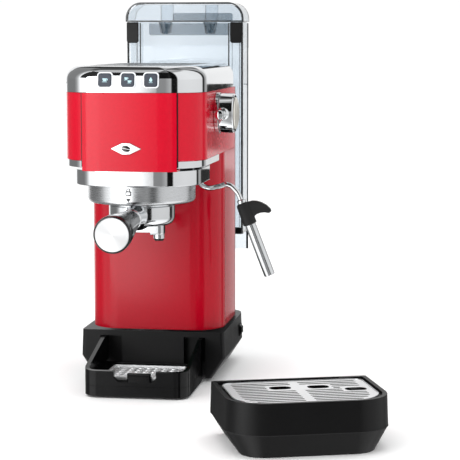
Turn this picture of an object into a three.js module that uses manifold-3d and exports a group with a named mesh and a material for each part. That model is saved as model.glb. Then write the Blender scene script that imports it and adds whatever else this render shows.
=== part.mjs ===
// A slim pump espresso machine, in millimetres, +Z up.
// While it is built, x = 0 is the centre plane, y = 0 the front face of the base, +Y points to the back
// and z = 0 is the worktop. The whole group is then moved so that its box stands centred on the origin.
// The water tank is shown lifted off its seat, and the drip tray stands beside the machine.

import * as THREE from 'three';
import { mergeVertices } from 'three/addons/utils/BufferGeometryUtils.js';
import Module from 'manifold-3d';

const wasm = await Module();
wasm.setup();

// ---------- driving dimensions ----------

const GAP = 0.3; // clearance between pieces that touch
const SHEET = 1.5; // painted steel panels
const WALL = 2.5; // moulded plastic walls

const BASE_WIDTH = 150;
const BASE_DEPTH = 155;
const BASE_TOP = 52;
const BASE_KINK = 24.6; // height of the crease round the sides
const BASE_BOTTOM = 4;
const BASE_SLANT = 13.5; // how far the sides pull in below the crease
const BASE_TAPER = 1; // and above it
const BASE_FRONT_RADIUS = 4;
const BASE_REAR_RADIUS = 28;
const BASE_NOSE = 14; // depth of the block that holds the tray sockets
const PLATE = 2; // base plate
const FOOT_RADIUS = 7;
const FOOT_INSET = 27;

const GLAND_RADIUS = 8;
const GLAND_X = -35;
const GLAND_Z = 28;
const SWITCH_Y = 112;
const SWITCH_Z = 36;
const SWITCH_LENGTH = 16;
const SWITCH_HEIGHT = 12;

const BODY_STEP = 5.7; // how far the column stands in from the base on each side
const BODY_INSET = 44; // from the back of the base to the back of the column
const COLUMN_FRONT = 8;
const COLUMN_RADIUS = 32;
const REAR_PLATE = 2.5;

const HEAD_REACH = 9; // how far the head reaches in front of the collar
const HEAD_RADIUS = 42;
const MACHINE_HEIGHT = 325; // to the top of the chrome cover
const COVER_HEIGHT = 25;
const HEAD_HEIGHT = 65; // of the painted side panels
const COVER_RADIUS = 13;
const COVER_WALL = 2;
const PANEL_STEP = 2; // how far the centre panel stands proud
const PANEL_INSET = 23.3; // from the side of the head to the panel's seam
const PANEL_DROP = 10; // how far the centre panel hangs below the side panels
const PAN_DROP = 7;

const BAND_INSET = 7.3; // from the side of the head to the band round the group
const BAND_CLEARANCE = 20; // from the back of the band to the front of the column
const BAND_HEIGHT = 15.2;

const COLLAR_CLEARANCE = 5; // from the collar to the front of the column
const COLLAR_RADIUS = 53;
const COLLAR_HEIGHT = 18.8;
const COLLAR_HOLE = 36;
const GROUP_RADIUS = 40;
const GROUP_GAP = 6; // from the top of the group head to the pan
const GROUP_LIP = 31.2;
const NECK_RADIUS = 12;

const CUP_RADIUS = 32.6;
const CUP_DROP = 23; // how far the cup hangs below the collar
const CUP_WALL = 3;
const BASKET_WALL = 0.8;
const EAR_REACH = 34.2;
const EAR_ANGLE = 50; // degrees from locked to where the ears pass the notches
const HANDLE_REACH = 138.5; // from the middle of the group to the end of the handle
const HANDLE_RADIUS = 17.6;
const SPOUT_PITCH = 34;
const SPOUT_DROP = 16;

const BUTTON = 12.3;
const BUTTON_PITCH = 22.2;
const BUTTON_RISE = 11.8; // above the lower edge of the cover
const BUTTON_TILT = 8; // degrees, as the front of the cover leans back
const BEZEL = 15.2;

const KNOB_Y = -15;
const KNOB_DROP = 23; // below the lower edge of the cover
const KNOB_RADIUS = 19;
const KNOB_DEPTH = 14.7;
const LEVER_REACH = 45;

const WAND_INSET = 19.3; // from the side of the body to the wand's joint
const WAND_Y = -4;
const WAND_RADIUS = 2.5;
const SLEEVE_RADIUS = 5.5;
const SLEEVE_LENGTH = 55;

const TANK_INSET = 9; // from the side of the base
const TANK_GAP = 3.2; // from the rear plate to the tank on its seat
const TANK_DEPTH = 46;
const TANK_SEAT = 12; // height of the tank's bottom above the base
const LID_HEIGHT = 21.7;
const LID_RADIUS = 18;
const TANK_WALL = 2.5;
const TANK_COLUMN = 15; // width of the ribs down the tank's front corners
const TANK_RECESS = 6;
const SKIN_DROP = 22; // how far the tank's back hangs below its bottom
const TANK_BACK = 75; // how far the tank is shown behind its seat
const TANK_UP = 67; // and above it

const LOWER_WIDTH = 105;
const LOWER_LENGTH = 91;
const LOWER_FOOT_BOTTOM = 2;
const LOWER_SEAM = 12;
const LOWER_RIM = 27;
const LOWER_RADIUS = 14;
const CHEEK_DROP = 6.5; // from the top of the base to the top of the arms
const CHEEK = 4;
const ARM_REACH = 9.5; // how far the arms enter the sockets

const DRIP_INSET = 3; // the drip tray is this much narrower than the base on each side
const DRIP_LENGTH = 103;
const DRIP_RADIUS = 34;
const DRIP_SLANT = 13;
const DRIP_FRONT_SLANT = 8;
const DRIP_X = 164; // where the drip tray stands beside the machine
const DRIP_Y = -199;
const DRIP_TURN = 18.9; // degrees
const DECK = 1.2;

// ---------- sizes that follow from them ----------

const BODY_REAR = BASE_DEPTH - BODY_INSET;
const GROUP_Y = COLUMN_FRONT - COLLAR_CLEARANCE - COLLAR_RADIUS;
const HEAD_FRONT = GROUP_Y - COLLAR_RADIUS - HEAD_REACH;
const HANDLE_END = GROUP_Y - HANDLE_REACH;
const BAND_REAR = COLUMN_FRONT - BAND_CLEARANCE;
const COVER_TOP = MACHINE_HEIGHT;
const COVER_BOTTOM = COVER_TOP - COVER_HEIGHT;
const HEAD_BOTTOM = COVER_BOTTOM - HEAD_HEIGHT;
const PANEL_BOTTOM = HEAD_BOTTOM - PANEL_DROP;
const PAN_BOTTOM = HEAD_BOTTOM - PAN_DROP;
const BAND_BOTTOM = PANEL_BOTTOM - BAND_HEIGHT;
const COLLAR_BOTTOM = BAND_BOTTOM - COLLAR_HEIGHT;
const GROUP_TOP = PAN_BOTTOM - GROUP_GAP;
const CUP_BOTTOM = COLLAR_BOTTOM - CUP_DROP;
const SPOUT_BOTTOM = CUP_BOTTOM - SPOUT_DROP;
const BUTTON_Z = COVER_BOTTOM + BUTTON_RISE;
const KNOB_Z = COVER_BOTTOM - KNOB_DROP;
const TANK_FRONT = BODY_REAR + GAP + REAR_PLATE + TANK_GAP;
const TANK_BOTTOM = BASE_TOP + TANK_SEAT;
const TANK_RIM = COVER_TOP - 1 - LID_HEIGHT - GAP;
const LID_TOP = COVER_TOP - 1;
const SKIN_BOTTOM = TANK_BOTTOM - SKIN_DROP;
const CHEEK_TOP = BASE_TOP - CHEEK_DROP;
const DRIP_HEIGHT = BASE_TOP - BASE_BOTTOM; // level with the base when it is docked
const baseHalf = BASE_WIDTH / 2;
const bodyHalf = baseHalf - BODY_STEP;
const panelHalf = bodyHalf - PANEL_INSET;
const bandHalf = bodyHalf - BAND_INSET;
const tankHalf = baseHalf - TANK_INSET;
const lowerHalf = LOWER_WIDTH / 2;
const wandX = bodyHalf - WAND_INSET;
const degrees = THREE.MathUtils.degToRad;

// ---------- helpers ----------

const at = (x, y) => new THREE.Vector2(x, y);

/** A rectangle with rounded corners, anticlockwise: front left, front right, back right, back left. */
function rounded(x0, x1, y0, y1, front, back = front, steps = 5) {
  const corners = [
    [x0 + front, y0 + front, front, 180],
    [x1 - front, y0 + front, front, 270],
    [x1 - back, y1 - back, back, 0],
    [x0 + back, y1 - back, back, 90],
  ];
  return corners.flatMap(([cx, cy, radius, start]) =>
    Array.from({ length: steps + 1 }, (_, i) => {
      const angle = degrees(start + (90 * i) / steps);
      return at(cx + radius * Math.cos(angle), cy + radius * Math.sin(angle));
    }),
  );
}

/** A mesh with shared corners, no empty faces, and its faces pointing out. */
function tidied(geometry) {
  const bare = geometry.clone();
  bare.deleteAttribute('normal');
  bare.deleteAttribute('uv');
  bare.clearGroups();
  const merged = mergeVertices(bare, 1e-4);
  const position = merged.getAttribute('position');
  const source = merged.getIndex().array;
  const [a, b, c] = [new THREE.Vector3(), new THREE.Vector3(), new THREE.Vector3()];
  const faces = [];
  let volume = 0;
  for (let i = 0; i < source.length; i += 3) {
    const [i0, i1, i2] = source.slice(i, i + 3);
    if (i0 === i1 || i1 === i2 || i2 === i0) continue;
    faces.push([i0, i1, i2]);
    a.fromBufferAttribute(position, i0);
    b.fromBufferAttribute(position, i1);
    c.fromBufferAttribute(position, i2);
    volume += a.dot(b.cross(c));
  }
  const outward = volume > 0 ? faces : faces.map(([i0, i1, i2]) => [i0, i2, i1]);
  merged.setIndex(outward.flat());
  return merged;
}

function solidOf(geometry) {
  const mesh = tidied(geometry);
  return new wasm.Manifold(
    new wasm.Mesh({
      numProp: 3,
      vertProperties: new Float32Array(mesh.getAttribute('position').array),
      triVerts: new Uint32Array(mesh.getIndex().array),
    }),
  );
}

function geometryOf(solid) {
  const mesh = solid.getMesh();
  const geometry = new THREE.BufferGeometry();
  geometry.setAttribute('position', new THREE.BufferAttribute(new Float32Array(mesh.vertProperties), 3));
  geometry.setIndex(new THREE.BufferAttribute(new Uint32Array(mesh.triVerts), 1));
  return geometry;
}

/** Joins the added pieces to a shape, then takes the cut ones away, then keeps what is inside the last. */
function shaped(base, { add = [], cut = [], keep = [] }) {
  let solid = solidOf(base);
  for (const piece of add) solid = solid.add(solidOf(piece));
  for (const piece of cut) solid = solid.subtract(solidOf(piece));
  for (const piece of keep) solid = solid.intersect(solidOf(piece));
  return geometryOf(solid);
}

/** An upright prism over an outline. */
function prism(outline, z0, z1) {
  const geometry = new THREE.ExtrudeGeometry(new THREE.Shape(outline), { depth: z1 - z0, bevelEnabled: false });
  return geometry.translate(0, 0, z0);
}

/** A prism over a side view given in (y, z), running from x0 to x1. */
function sidePrism(outline, x0, x1) {
  const turn = new THREE.Matrix4().makeBasis(
    new THREE.Vector3(0, 1, 0),
    new THREE.Vector3(0, 0, 1),
    new THREE.Vector3(1, 0, 0),
  );
  return prism(outline, x0, x1).applyMatrix4(turn);
}

/** A prism over a front view given in (x, z), running from y0 to y1. */
function frontPrism(outline, y0, y1) {
  return prism(outline, -y1, -y0).rotateX(Math.PI / 2);
}

/** A solid through a stack of outlines that have the same number of points. */
function loft(rings) {
  const count = rings[0].outline.length;
  const position = rings.flatMap(({ outline, z }) => outline.flatMap((p) => [p.x, p.y, z]));
  const caps = THREE.ShapeUtils.triangulateShape(rings[0].outline, []);
  const last = (rings.length - 1) * count;
  const faces = caps.flatMap(([i, j, k]) => [i, k, j, last + i, last + j, last + k]);
  for (let ring = 0; ring < rings.length - 1; ring += 1) {
    for (let i = 0; i < count; i += 1) {
      const low = ring * count;
      const next = (i + 1) % count;
      faces.push(low + i, low + next, low + count + next, low + i, low + count + next, low + count + i);
    }
  }
  const geometry = new THREE.BufferGeometry();
  geometry.setAttribute('position', new THREE.Float32BufferAttribute(position, 3));
  geometry.setIndex(faces);
  return geometry;
}

function block(x0, x1, y0, y1, z0, z1) {
  const geometry = new THREE.BoxGeometry(x1 - x0, y1 - y0, z1 - z0);
  return geometry.translate((x0 + x1) / 2, (y0 + y1) / 2, (z0 + z1) / 2);
}

/** Turned about the Z axis from a profile of [radius, z] pairs, closed on the axis or on itself. */
function turned(profile, sides = 20) {
  return new THREE.LatheGeometry(profile.map(([r, z]) => at(r, z)), sides).rotateX(Math.PI / 2);
}

const rod = (radius, z0, z1, sides = 16) => turned([[0, z0], [radius, z0], [radius, z1], [0, z1]], sides);
const ring = (outer, inner, z0, z1, sides = 20) =>
  turned([[inner, z0], [outer, z0], [outer, z1], [inner, z1], [inner, z0]], sides);
const alongX = (geometry) => geometry.rotateY(Math.PI / 2);
const alongY = (geometry) => geometry.rotateX(-Math.PI / 2);

/** A round bar along a smooth line through points. */
function pipe(points, radius, steps = 16, sides = 8) {
  const line = new THREE.CatmullRomCurve3(points.map((p) => new THREE.Vector3(...p)));
  const section = Array.from({ length: sides }, (_, i) => {
    const angle = (2 * Math.PI * i) / sides;
    return at(radius * Math.cos(angle), radius * Math.sin(angle));
  });
  return new THREE.ExtrudeGeometry(new THREE.Shape(section), { steps, extrudePath: line, bevelEnabled: false });
}

const finish = (color, roughness, metalness = 0) => ({ color, roughness, metalness });
const RED_PAINT = finish(0xd0142c, 0.28, 0.2);
const CHROME = finish(0xdfe2e4, 0.06, 1);
const BRUSHED = finish(0xb9bbbd, 0.3, 1);
const CAST = finish(0x9a9da0, 0.45, 1);
const BLACK = finish(0x141416, 0.35);
const RUBBER = finish(0x1b1b1b, 0.85);
const SMOKE = finish(0x8fa0aa, 0.1);
const KEY = finish(0x33363e, 0.4);
const WHITE = finish(0xe9edf2, 0.35);
const BRASS = finish(0xb58f45, 0.3, 1);
const BOARD = finish(0x1f5a3c, 0.5);
const SILICONE = finish(0xd9d6cc, 0.6);

const machine = new THREE.Group();

/** Adds one named piece to a group. */
function piece(name, geometry, look, parent = machine) {
  const mesh = new THREE.Mesh(tidied(geometry), new THREE.MeshStandardMaterial(look));
  mesh.geometry.computeVertexNormals();
  mesh.name = name;
  parent.add(mesh);
  return mesh;
}

function groupAt(x, y, z, parent = machine) {
  const group = new THREE.Group();
  group.position.set(x, y, z);
  parent.add(group);
  return group;
}

// ---------- base ----------

const nippleX = 0;
const nippleY = TANK_FRONT + TANK_DEPTH / 2 - 6;
const pumpX = -18;
const pumpY = 62;

const baseOutline = (side, front, back) =>
  rounded(-baseHalf + side, baseHalf - side, front, BASE_DEPTH - back,
    BASE_FRONT_RADIUS, BASE_REAR_RADIUS - back);

function baseShell() {
  const slantAt = (z) => (BASE_SLANT * (BASE_KINK - z)) / (BASE_KINK - BASE_BOTTOM);
  const outer = loft([
    { outline: baseOutline(BASE_SLANT, 0, BASE_SLANT / 2), z: BASE_BOTTOM },
    { outline: baseOutline(0, 0, 0), z: BASE_KINK },
    { outline: baseOutline(BASE_TAPER, 0, BASE_TAPER), z: BASE_TOP },
  ]);
  const below = BASE_BOTTOM - 1;
  const hollow = loft([
    { outline: baseOutline(slantAt(below) + WALL, BASE_NOSE, slantAt(below) / 2 + WALL), z: below },
    { outline: baseOutline(WALL, BASE_NOSE, WALL), z: BASE_KINK },
    { outline: baseOutline(WALL + BASE_TAPER, BASE_NOSE, WALL + BASE_TAPER), z: BASE_TOP - WALL },
  ]);
  const outerSide = lowerHalf + WALL;
  const innerSide = lowerHalf - 20;
  const top = CHEEK_TOP + 2 * GAP;
  const deep = ARM_REACH + 1.5;
  const sockets = [-1, 1].map((side) =>
    block(Math.min(side * innerSide, side * outerSide), Math.max(side * innerSide, side * outerSide),
      -1, deep, BASE_BOTTOM - 1, top));
  const pumpHole = rod(10, BASE_TOP - WALL - 1, BASE_TOP + 1).translate(pumpX, pumpY, 0);
  const nippleHole = rod(6, BASE_TOP - WALL - 1, BASE_TOP + 1).translate(nippleX, nippleY, 0);
  const glandHole = alongY(rod(GLAND_RADIUS + GAP, -8, 8)).translate(GLAND_X, BASE_DEPTH, GLAND_Z);
  const switchHole = block(baseHalf - 12, baseHalf + 1, SWITCH_Y - SWITCH_LENGTH / 2 - GAP,
    SWITCH_Y + SWITCH_LENGTH / 2 + GAP, SWITCH_Z - SWITCH_HEIGHT / 2 - GAP, SWITCH_Z + SWITCH_HEIGHT / 2 + GAP);
  return shaped(outer, { cut: [hollow, ...sockets, pumpHole, nippleHole, glandHole, switchHole] });
}

piece('base_shell', baseShell(), BLACK);

const plateSide = BASE_SLANT + WALL + GAP;
const plateOutline = baseOutline(plateSide, BASE_NOSE + GAP, BASE_SLANT / 2 + WALL + GAP);
piece('base_plate', prism(plateOutline, BASE_BOTTOM, BASE_BOTTOM + PLATE), BLACK);

const footTop = BASE_BOTTOM - GAP;
const footPlaces = {
  foot_front_left: [-baseHalf + FOOT_INSET, FOOT_INSET],
  foot_front_right: [baseHalf - FOOT_INSET, FOOT_INSET],
  foot_rear_left: [-baseHalf + FOOT_INSET, BASE_DEPTH - FOOT_INSET],
  foot_rear_right: [baseHalf - FOOT_INSET, BASE_DEPTH - FOOT_INSET],
};
for (const [name, [x, y]] of Object.entries(footPlaces)) {
  const profile = [[0, 0], [FOOT_RADIUS - 1, 0], [FOOT_RADIUS, 1], [FOOT_RADIUS, footTop], [0, footTop]];
  piece(name, turned(profile, 16), RUBBER).position.set(x, y, 0);
}

const glandProfile = [
  [3.6, -8], [GLAND_RADIUS, -8], [GLAND_RADIUS, GAP], [GLAND_RADIUS + 2.5, GAP], [GLAND_RADIUS + 2.5, 3],
  [6.5, 4], [6, 9], [3.6, 9], [3.6, -8],
];
piece('cord_gland', alongY(turned(glandProfile, 16)), RUBBER).position.set(GLAND_X, BASE_DEPTH, GLAND_Z);

const switchGroup = groupAt(baseHalf, SWITCH_Y, SWITCH_Z);
const rockerSpace = SWITCH_LENGTH / 2 - 2;
const switchHalf = SWITCH_HEIGHT / 2;
piece('switch_bezel', shaped(block(-6, 1, -SWITCH_LENGTH / 2, SWITCH_LENGTH / 2, -switchHalf, switchHalf), {
  cut: [block(-5, 2, -rockerSpace, rockerSpace, -switchHalf + 2, switchHalf - 2)],
}), BLACK, switchGroup);
const rockerHalf = rockerSpace - 0.6;
const rockerOutline = [at(-3, -2), at(3, -2), at(rockerHalf, 3.6), at(0, 2.4), at(-rockerHalf, 3.6)];
const rocker = prism(rockerOutline, -switchHalf + 2 + GAP, switchHalf - 2 - GAP);
const rockerTurn = new THREE.Matrix4().makeBasis(
  new THREE.Vector3(0, -1, 0), new THREE.Vector3(1, 0, 0), new THREE.Vector3(0, 0, 1));
piece('power_rocker', rocker.applyMatrix4(rockerTurn), BLACK, switchGroup).position.x = -1;

// ---------- column and back ----------

const columnOutline = (inset, rear) =>
  rounded(-bodyHalf + inset, bodyHalf - inset, COLUMN_FRONT + inset, rear, COLUMN_RADIUS - inset, 0.5, 6);
piece('column_wrap', shaped(prism(columnOutline(0, BODY_REAR), BASE_TOP + GAP, HEAD_BOTTOM - GAP), {
  cut: [prism(columnOutline(SHEET, BODY_REAR + 5), BASE_TOP, HEAD_BOTTOM)],
}), RED_PAINT);

const rearY = BODY_REAR + GAP;
const ribX = bodyHalf - 8;
const vents = Array.from({ length: 6 }, (_, i) =>
  block(-25, 25, rearY - 1, rearY + REAR_PLATE + 1, 0, 3).translate(0, 0, COVER_BOTTOM - 50 + 6 * i));
const rearPlate = block(-bodyHalf, bodyHalf, rearY, rearY + REAR_PLATE, BASE_TOP + GAP, COVER_BOTTOM - GAP);
piece('rear_frame', shaped(rearPlate, {
  add: [-ribX, ribX].map((x) => block(x - 1, x + 1, rearY - 16, rearY + 1, BASE_TOP + GAP, COVER_BOTTOM - 10)),
  cut: vents,
}), BLACK);

// ---------- head ----------

const headOutline = (inset, rear, back = 0.5, steps = 7) =>
  rounded(-bodyHalf + inset, bodyHalf - inset, HEAD_FRONT + inset, rear, HEAD_RADIUS - inset, back, steps);
const knobHole = alongX(rod(6, 0, 20)).translate(bodyHalf - 10, KNOB_Y, KNOB_Z);
piece('head_shell', shaped(prism(headOutline(0, BODY_REAR), HEAD_BOTTOM, COVER_BOTTOM - GAP), {
  cut: [prism(headOutline(SHEET, BODY_REAR + 5), HEAD_BOTTOM - 1, COVER_BOTTOM), knobHole],
}), RED_PAINT);

const panelFace = headOutline(-PANEL_STEP, 0);
const panelBack = prism(headOutline(-GAP, 1), PANEL_BOTTOM + SHEET, COVER_BOTTOM);
const panelLip = prism(headOutline(4, 1), PANEL_BOTTOM - 1, COVER_BOTTOM);
piece('head_front_panel', shaped(prism(panelFace, PANEL_BOTTOM, COVER_BOTTOM - GAP), {
  cut: [panelBack, panelLip],
  keep: [block(-panelHalf, panelHalf, HEAD_FRONT - 10, HEAD_FRONT + HEAD_RADIUS / 2, 0, COVER_TOP)],
}), RED_PAINT);

const coverRise = COVER_TOP - COVER_RADIUS;
function coverRings(inset, start, rear, radius) {
  const rings = [{ inset, z: start }];
  for (let i = 0; i <= 3; i += 1) {
    const angle = degrees(30 * i);
    rings.push({ inset: inset + radius * (1 - Math.cos(angle)), z: coverRise + radius * Math.sin(angle) });
  }
  return rings.map((r) => ({
    outline: rounded(-bodyHalf + r.inset, bodyHalf - r.inset, HEAD_FRONT - 1 + r.inset, rear - r.inset,
      HEAD_RADIUS - r.inset, 14 - r.inset / 2, 5),
    z: r.z,
  }));
}
const coverRear = BODY_REAR + REAR_PLATE + GAP;
const keyY = HEAD_FRONT - 0.4;
const tilted = (geometry, x) =>
  geometry.rotateX(degrees(-BUTTON_TILT)).translate(x, keyY, BUTTON_Z);
const keyPlaces = [-BUTTON_PITCH, 0, BUTTON_PITCH];
const squarePlug = (side, radius, y0, y1) =>
  frontPrism(rounded(-side / 2, side / 2, -side / 2, side / 2, radius, radius, 3), y0, y1);
const cupOutline = (inset) =>
  rounded(-bodyHalf + 22 + inset, bodyHalf - 22 - inset, HEAD_FRONT + 28 + inset, BODY_REAR - 22 - inset,
    20 - inset, 10 - inset, 5);
const recessDepth = 1.8;
piece('top_cover', shaped(loft(coverRings(0, COVER_BOTTOM, coverRear, COVER_RADIUS)), {
  cut: [
    loft(coverRings(COVER_WALL, COVER_BOTTOM - 1, coverRear, COVER_RADIUS - COVER_WALL - 2)),
    ...keyPlaces.map((x) => tilted(squarePlug(BEZEL + 2 * GAP, 3.4, -8, 8), x)),
    prism(cupOutline(0), COVER_TOP - recessDepth, COVER_TOP + 1),
  ],
}), CHROME);

piece('cup_plate', prism(cupOutline(GAP), COVER_TOP - recessDepth + GAP, COVER_TOP), BRUSHED);

piece('head_pan', shaped(prism(headOutline(1, COLUMN_FRONT - GAP, 0.5, 6), PAN_BOTTOM, HEAD_BOTTOM - GAP), {
  cut: [
    prism(headOutline(1 + SHEET, COLUMN_FRONT + 5, 0.5, 6), PAN_BOTTOM + SHEET, HEAD_BOTTOM),
    rod(NECK_RADIUS + 1, PAN_BOTTOM - 1, HEAD_BOTTOM).translate(0, GROUP_Y, 0),
    rod(4, PAN_BOTTOM - 1, HEAD_BOTTOM, 12).translate(wandX, WAND_Y, 0),
  ],
}), CHROME);

const badgeOutline = [at(-15, 0), at(-4, 5.5), at(4, 5.5), at(15, 0), at(4, -5.5), at(-4, -5.5)];
const panelFront = HEAD_FRONT - PANEL_STEP;
piece('badge', frontPrism(badgeOutline, -1.2, 0), CHROME).position.set(-2, panelFront - GAP, PANEL_BOTTOM + 22);

// ---------- keys ----------

const keyGroup = groupAt(0, keyY, BUTTON_Z);
keyGroup.rotation.x = degrees(-BUTTON_TILT);
const keyHole = BUTTON + 2 * GAP;
piece('key_frame', shaped(block(-BUTTON_PITCH - BEZEL / 2, BUTTON_PITCH + BEZEL / 2, 3.2, 4.8, -6.5, 5), {
  add: keyPlaces.map((x) => squarePlug(BEZEL, 3.2, -1.3, 4).translate(x, 0, 0)),
  cut: keyPlaces.map((x) => squarePlug(keyHole, 2.4, -3, 8).translate(x, 0, 0)),
  keep: [block(-60, 60, -3, 8, -BEZEL, BEZEL)],
}), WHITE, keyGroup);
const keyNames = ['button_left', 'button_middle', 'button_right'];
keyNames.forEach((name, i) => {
  piece(name, squarePlug(BUTTON, 2.2, -1.7, 4.5), KEY, keyGroup).position.x = keyPlaces[i];
});
piece('key_board', shaped(block(-BUTTON_PITCH - 6, BUTTON_PITCH + 6, 9, 10.6, -5, 4.5), {
  add: keyPlaces.map((x) => block(x - 3, x + 3, 6.4, 9.5, -3, 3)),
}), BOARD, keyGroup);

// ---------- group ----------

const groupSet = groupAt(0, GROUP_Y, 0);
const bandOutline = (inset, rear) =>
  rounded(-bandHalf + inset, bandHalf - inset, HEAD_FRONT + BAND_INSET + inset, rear,
    HEAD_RADIUS - 2 - inset, 1, 7);
const bandTop = PANEL_BOTTOM - GAP;
piece('group_band', shaped(prism(bandOutline(0, BAND_REAR), BAND_BOTTOM, bandTop), {
  cut: [
    prism(bandOutline(SHEET, BAND_REAR - SHEET), BAND_BOTTOM + SHEET, bandTop + 1),
    rod(GROUP_RADIUS + 1, BAND_BOTTOM - 1, bandTop).translate(0, GROUP_Y, 0),
  ],
}), CHROME);

const collarTop = BAND_BOTTOM - GAP;
const collarInner = COLLAR_RADIUS - SHEET;
piece('group_collar', turned([
  [COLLAR_HOLE, COLLAR_BOTTOM], [COLLAR_RADIUS - 3, COLLAR_BOTTOM], [COLLAR_RADIUS - 0.8, COLLAR_BOTTOM + 1],
  [COLLAR_RADIUS, COLLAR_BOTTOM + 3.2], [COLLAR_RADIUS, collarTop], [collarInner, collarTop],
  [collarInner, COLLAR_BOTTOM + 3.5], [COLLAR_RADIUS - 3, COLLAR_BOTTOM + SHEET],
  [COLLAR_HOLE, COLLAR_BOTTOM + SHEET], [COLLAR_HOLE, COLLAR_BOTTOM],
], 28), BRUSHED, groupSet);

const lipBottom = COLLAR_BOTTOM + SHEET + GAP;
const lipTop = lipBottom + 3.4;
const trackTop = lipTop + 5;
const trackRadius = EAR_REACH + 2 * GAP;
const gasketTop = trackTop + 5;
const ceiling = gasketTop + 3;
const screwHole = 2.8;
const neckTop = PAN_BOTTOM + 4.7;
const earSector = (from, to, radius, inner) => {
  const steps = 5;
  const arc = (r, a, b) => Array.from({ length: steps + 1 }, (_, i) => {
    const angle = degrees(a + ((b - a) * i) / steps);
    return at(r * Math.cos(angle), r * Math.sin(angle));
  });
  return [...arc(radius, from, to), ...arc(inner, to, from)];
};
const EAR_HALF = 13;
// The unlocked position is reached by turning the handle clockwise seen from above.
const notches = [0, 180].map((turn) =>
  prism(earSector(turn - EAR_ANGLE - EAR_HALF - 2, turn - EAR_ANGLE + EAR_HALF + 2, trackRadius, GROUP_LIP - 4),
    lipBottom - 1, lipTop + 1));
piece('group_head', shaped(turned([
  [GROUP_LIP, lipBottom], [GROUP_RADIUS - 2, lipBottom], [GROUP_RADIUS, lipBottom + 2],
  [GROUP_RADIUS, GROUP_TOP], [NECK_RADIUS, GROUP_TOP], [NECK_RADIUS, neckTop], [screwHole, neckTop],
  [screwHole, ceiling],
  [26, ceiling], [26, trackTop + 2], [27, trackTop + 2], [27, gasketTop], [33, gasketTop], [33, trackTop],
  [trackRadius, trackTop], [trackRadius, lipTop], [GROUP_LIP, lipTop], [GROUP_LIP, lipBottom],
], 24), { cut: notches }), CAST, groupSet);

const cupTop = lipTop + 4.4;
const rimTop = cupTop + GAP + BASKET_WALL;
piece('group_gasket', ring(33 - GAP, 27 + GAP, rimTop + GAP, gasketTop - GAP, 24), RUBBER, groupSet);
const screenZ = trackTop + 3;
const screenHoles = Array.from({ length: 8 }, (_, i) =>
  rod(1.6, screenZ - 1, screenZ + 3, 6).translate(17 * Math.cos(degrees(45 * i)), 17 * Math.sin(degrees(45 * i)), 0));
piece('shower_screen', shaped(ring(25.6, screwHole, screenZ, screenZ + 1), { cut: screenHoles }), BRUSHED, groupSet);
piece('shower_screw', turned([
  [0, screenZ - 2.4], [4.6, screenZ - 2.4], [4.6, screenZ - GAP], [screwHole - GAP, screenZ - GAP],
  [screwHole - GAP, ceiling + 12], [0, ceiling + 12],
], 12), BRUSHED, groupSet);

// ---------- water and steam works ----------

const blockBottom = PAN_BOTTOM + 5;
const blockTop = blockBottom + 29;
const blockHalf = 33;
const blockRear = GROUP_Y + 32;
const fins = Array.from({ length: 5 }, (_, i) =>
  block(-blockHalf + 6 + 12 * i, -blockHalf + 12 + 12 * i, GROUP_Y - 40, blockRear + 5, blockTop - 5, blockTop + 5));
piece('thermoblock', shaped(block(-blockHalf, blockHalf, GROUP_Y - 36, blockRear, blockBottom, blockTop), {
  cut: fins,
}), CAST);

piece('pump_bush', ring(22, 9, BASE_TOP + GAP, BASE_TOP + 14, 20), RUBBER).position.set(pumpX, pumpY, 0);
const pumpBottom = BASE_TOP + 14 + GAP;
piece('pump', turned([
  [0, pumpBottom - 8], [6, pumpBottom - 8], [6, pumpBottom], [20, pumpBottom], [20, pumpBottom + 12],
  [24, pumpBottom + 14], [24, pumpBottom + 44], [20, pumpBottom + 46], [12, pumpBottom + 60],
  [5, pumpBottom + 64], [5, pumpBottom + 76], [0, pumpBottom + 76],
], 20), CAST).position.set(pumpX, pumpY, 0);

const boardY = rearY - 15.3;
const boardZ = HEAD_BOTTOM - 115;
const boardHalf = ribX - 17;
piece('control_board', shaped(block(-boardHalf, boardHalf, boardY, boardY + 1.6, boardZ, boardZ + 90), {
  add: [
    block(-boardHalf + 6, -16, boardY - 14, boardY + 1, boardZ + 50, boardZ + 80),
    block(-8, 10, boardY - 12, boardY + 1, boardZ + 56, boardZ + 80),
    block(16, boardHalf - 4, boardY - 14, boardY + 1, boardZ + 8, boardZ + 40),
    block(-boardHalf + 8, 4, boardY - 8, boardY + 1, boardZ + 8, boardZ + 20),
  ],
}), BOARD);

const hoseRadius = 3.5;
piece('suction_hose', pipe([
  [pumpX, pumpY, pumpBottom - 8 - GAP], [pumpX, pumpY, 46], [pumpX + 3, pumpY + 12, 34], [pumpX + 14, nippleY - 30, 30],
  [nippleX, nippleY - 1, 34], [nippleX, nippleY, BASE_TOP - 8.5],
], hoseRadius), SILICONE);
piece('pressure_pipe', pipe([
  [pumpX, pumpY, pumpBottom + 76 + GAP], [pumpX, pumpY, blockTop - 77], [pumpX, 50, blockTop - 30],
  [pumpX, 14, blockTop - 13], [pumpX, blockRear + GAP, blockTop - 12],
], 2.5), BRUSHED);

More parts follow.
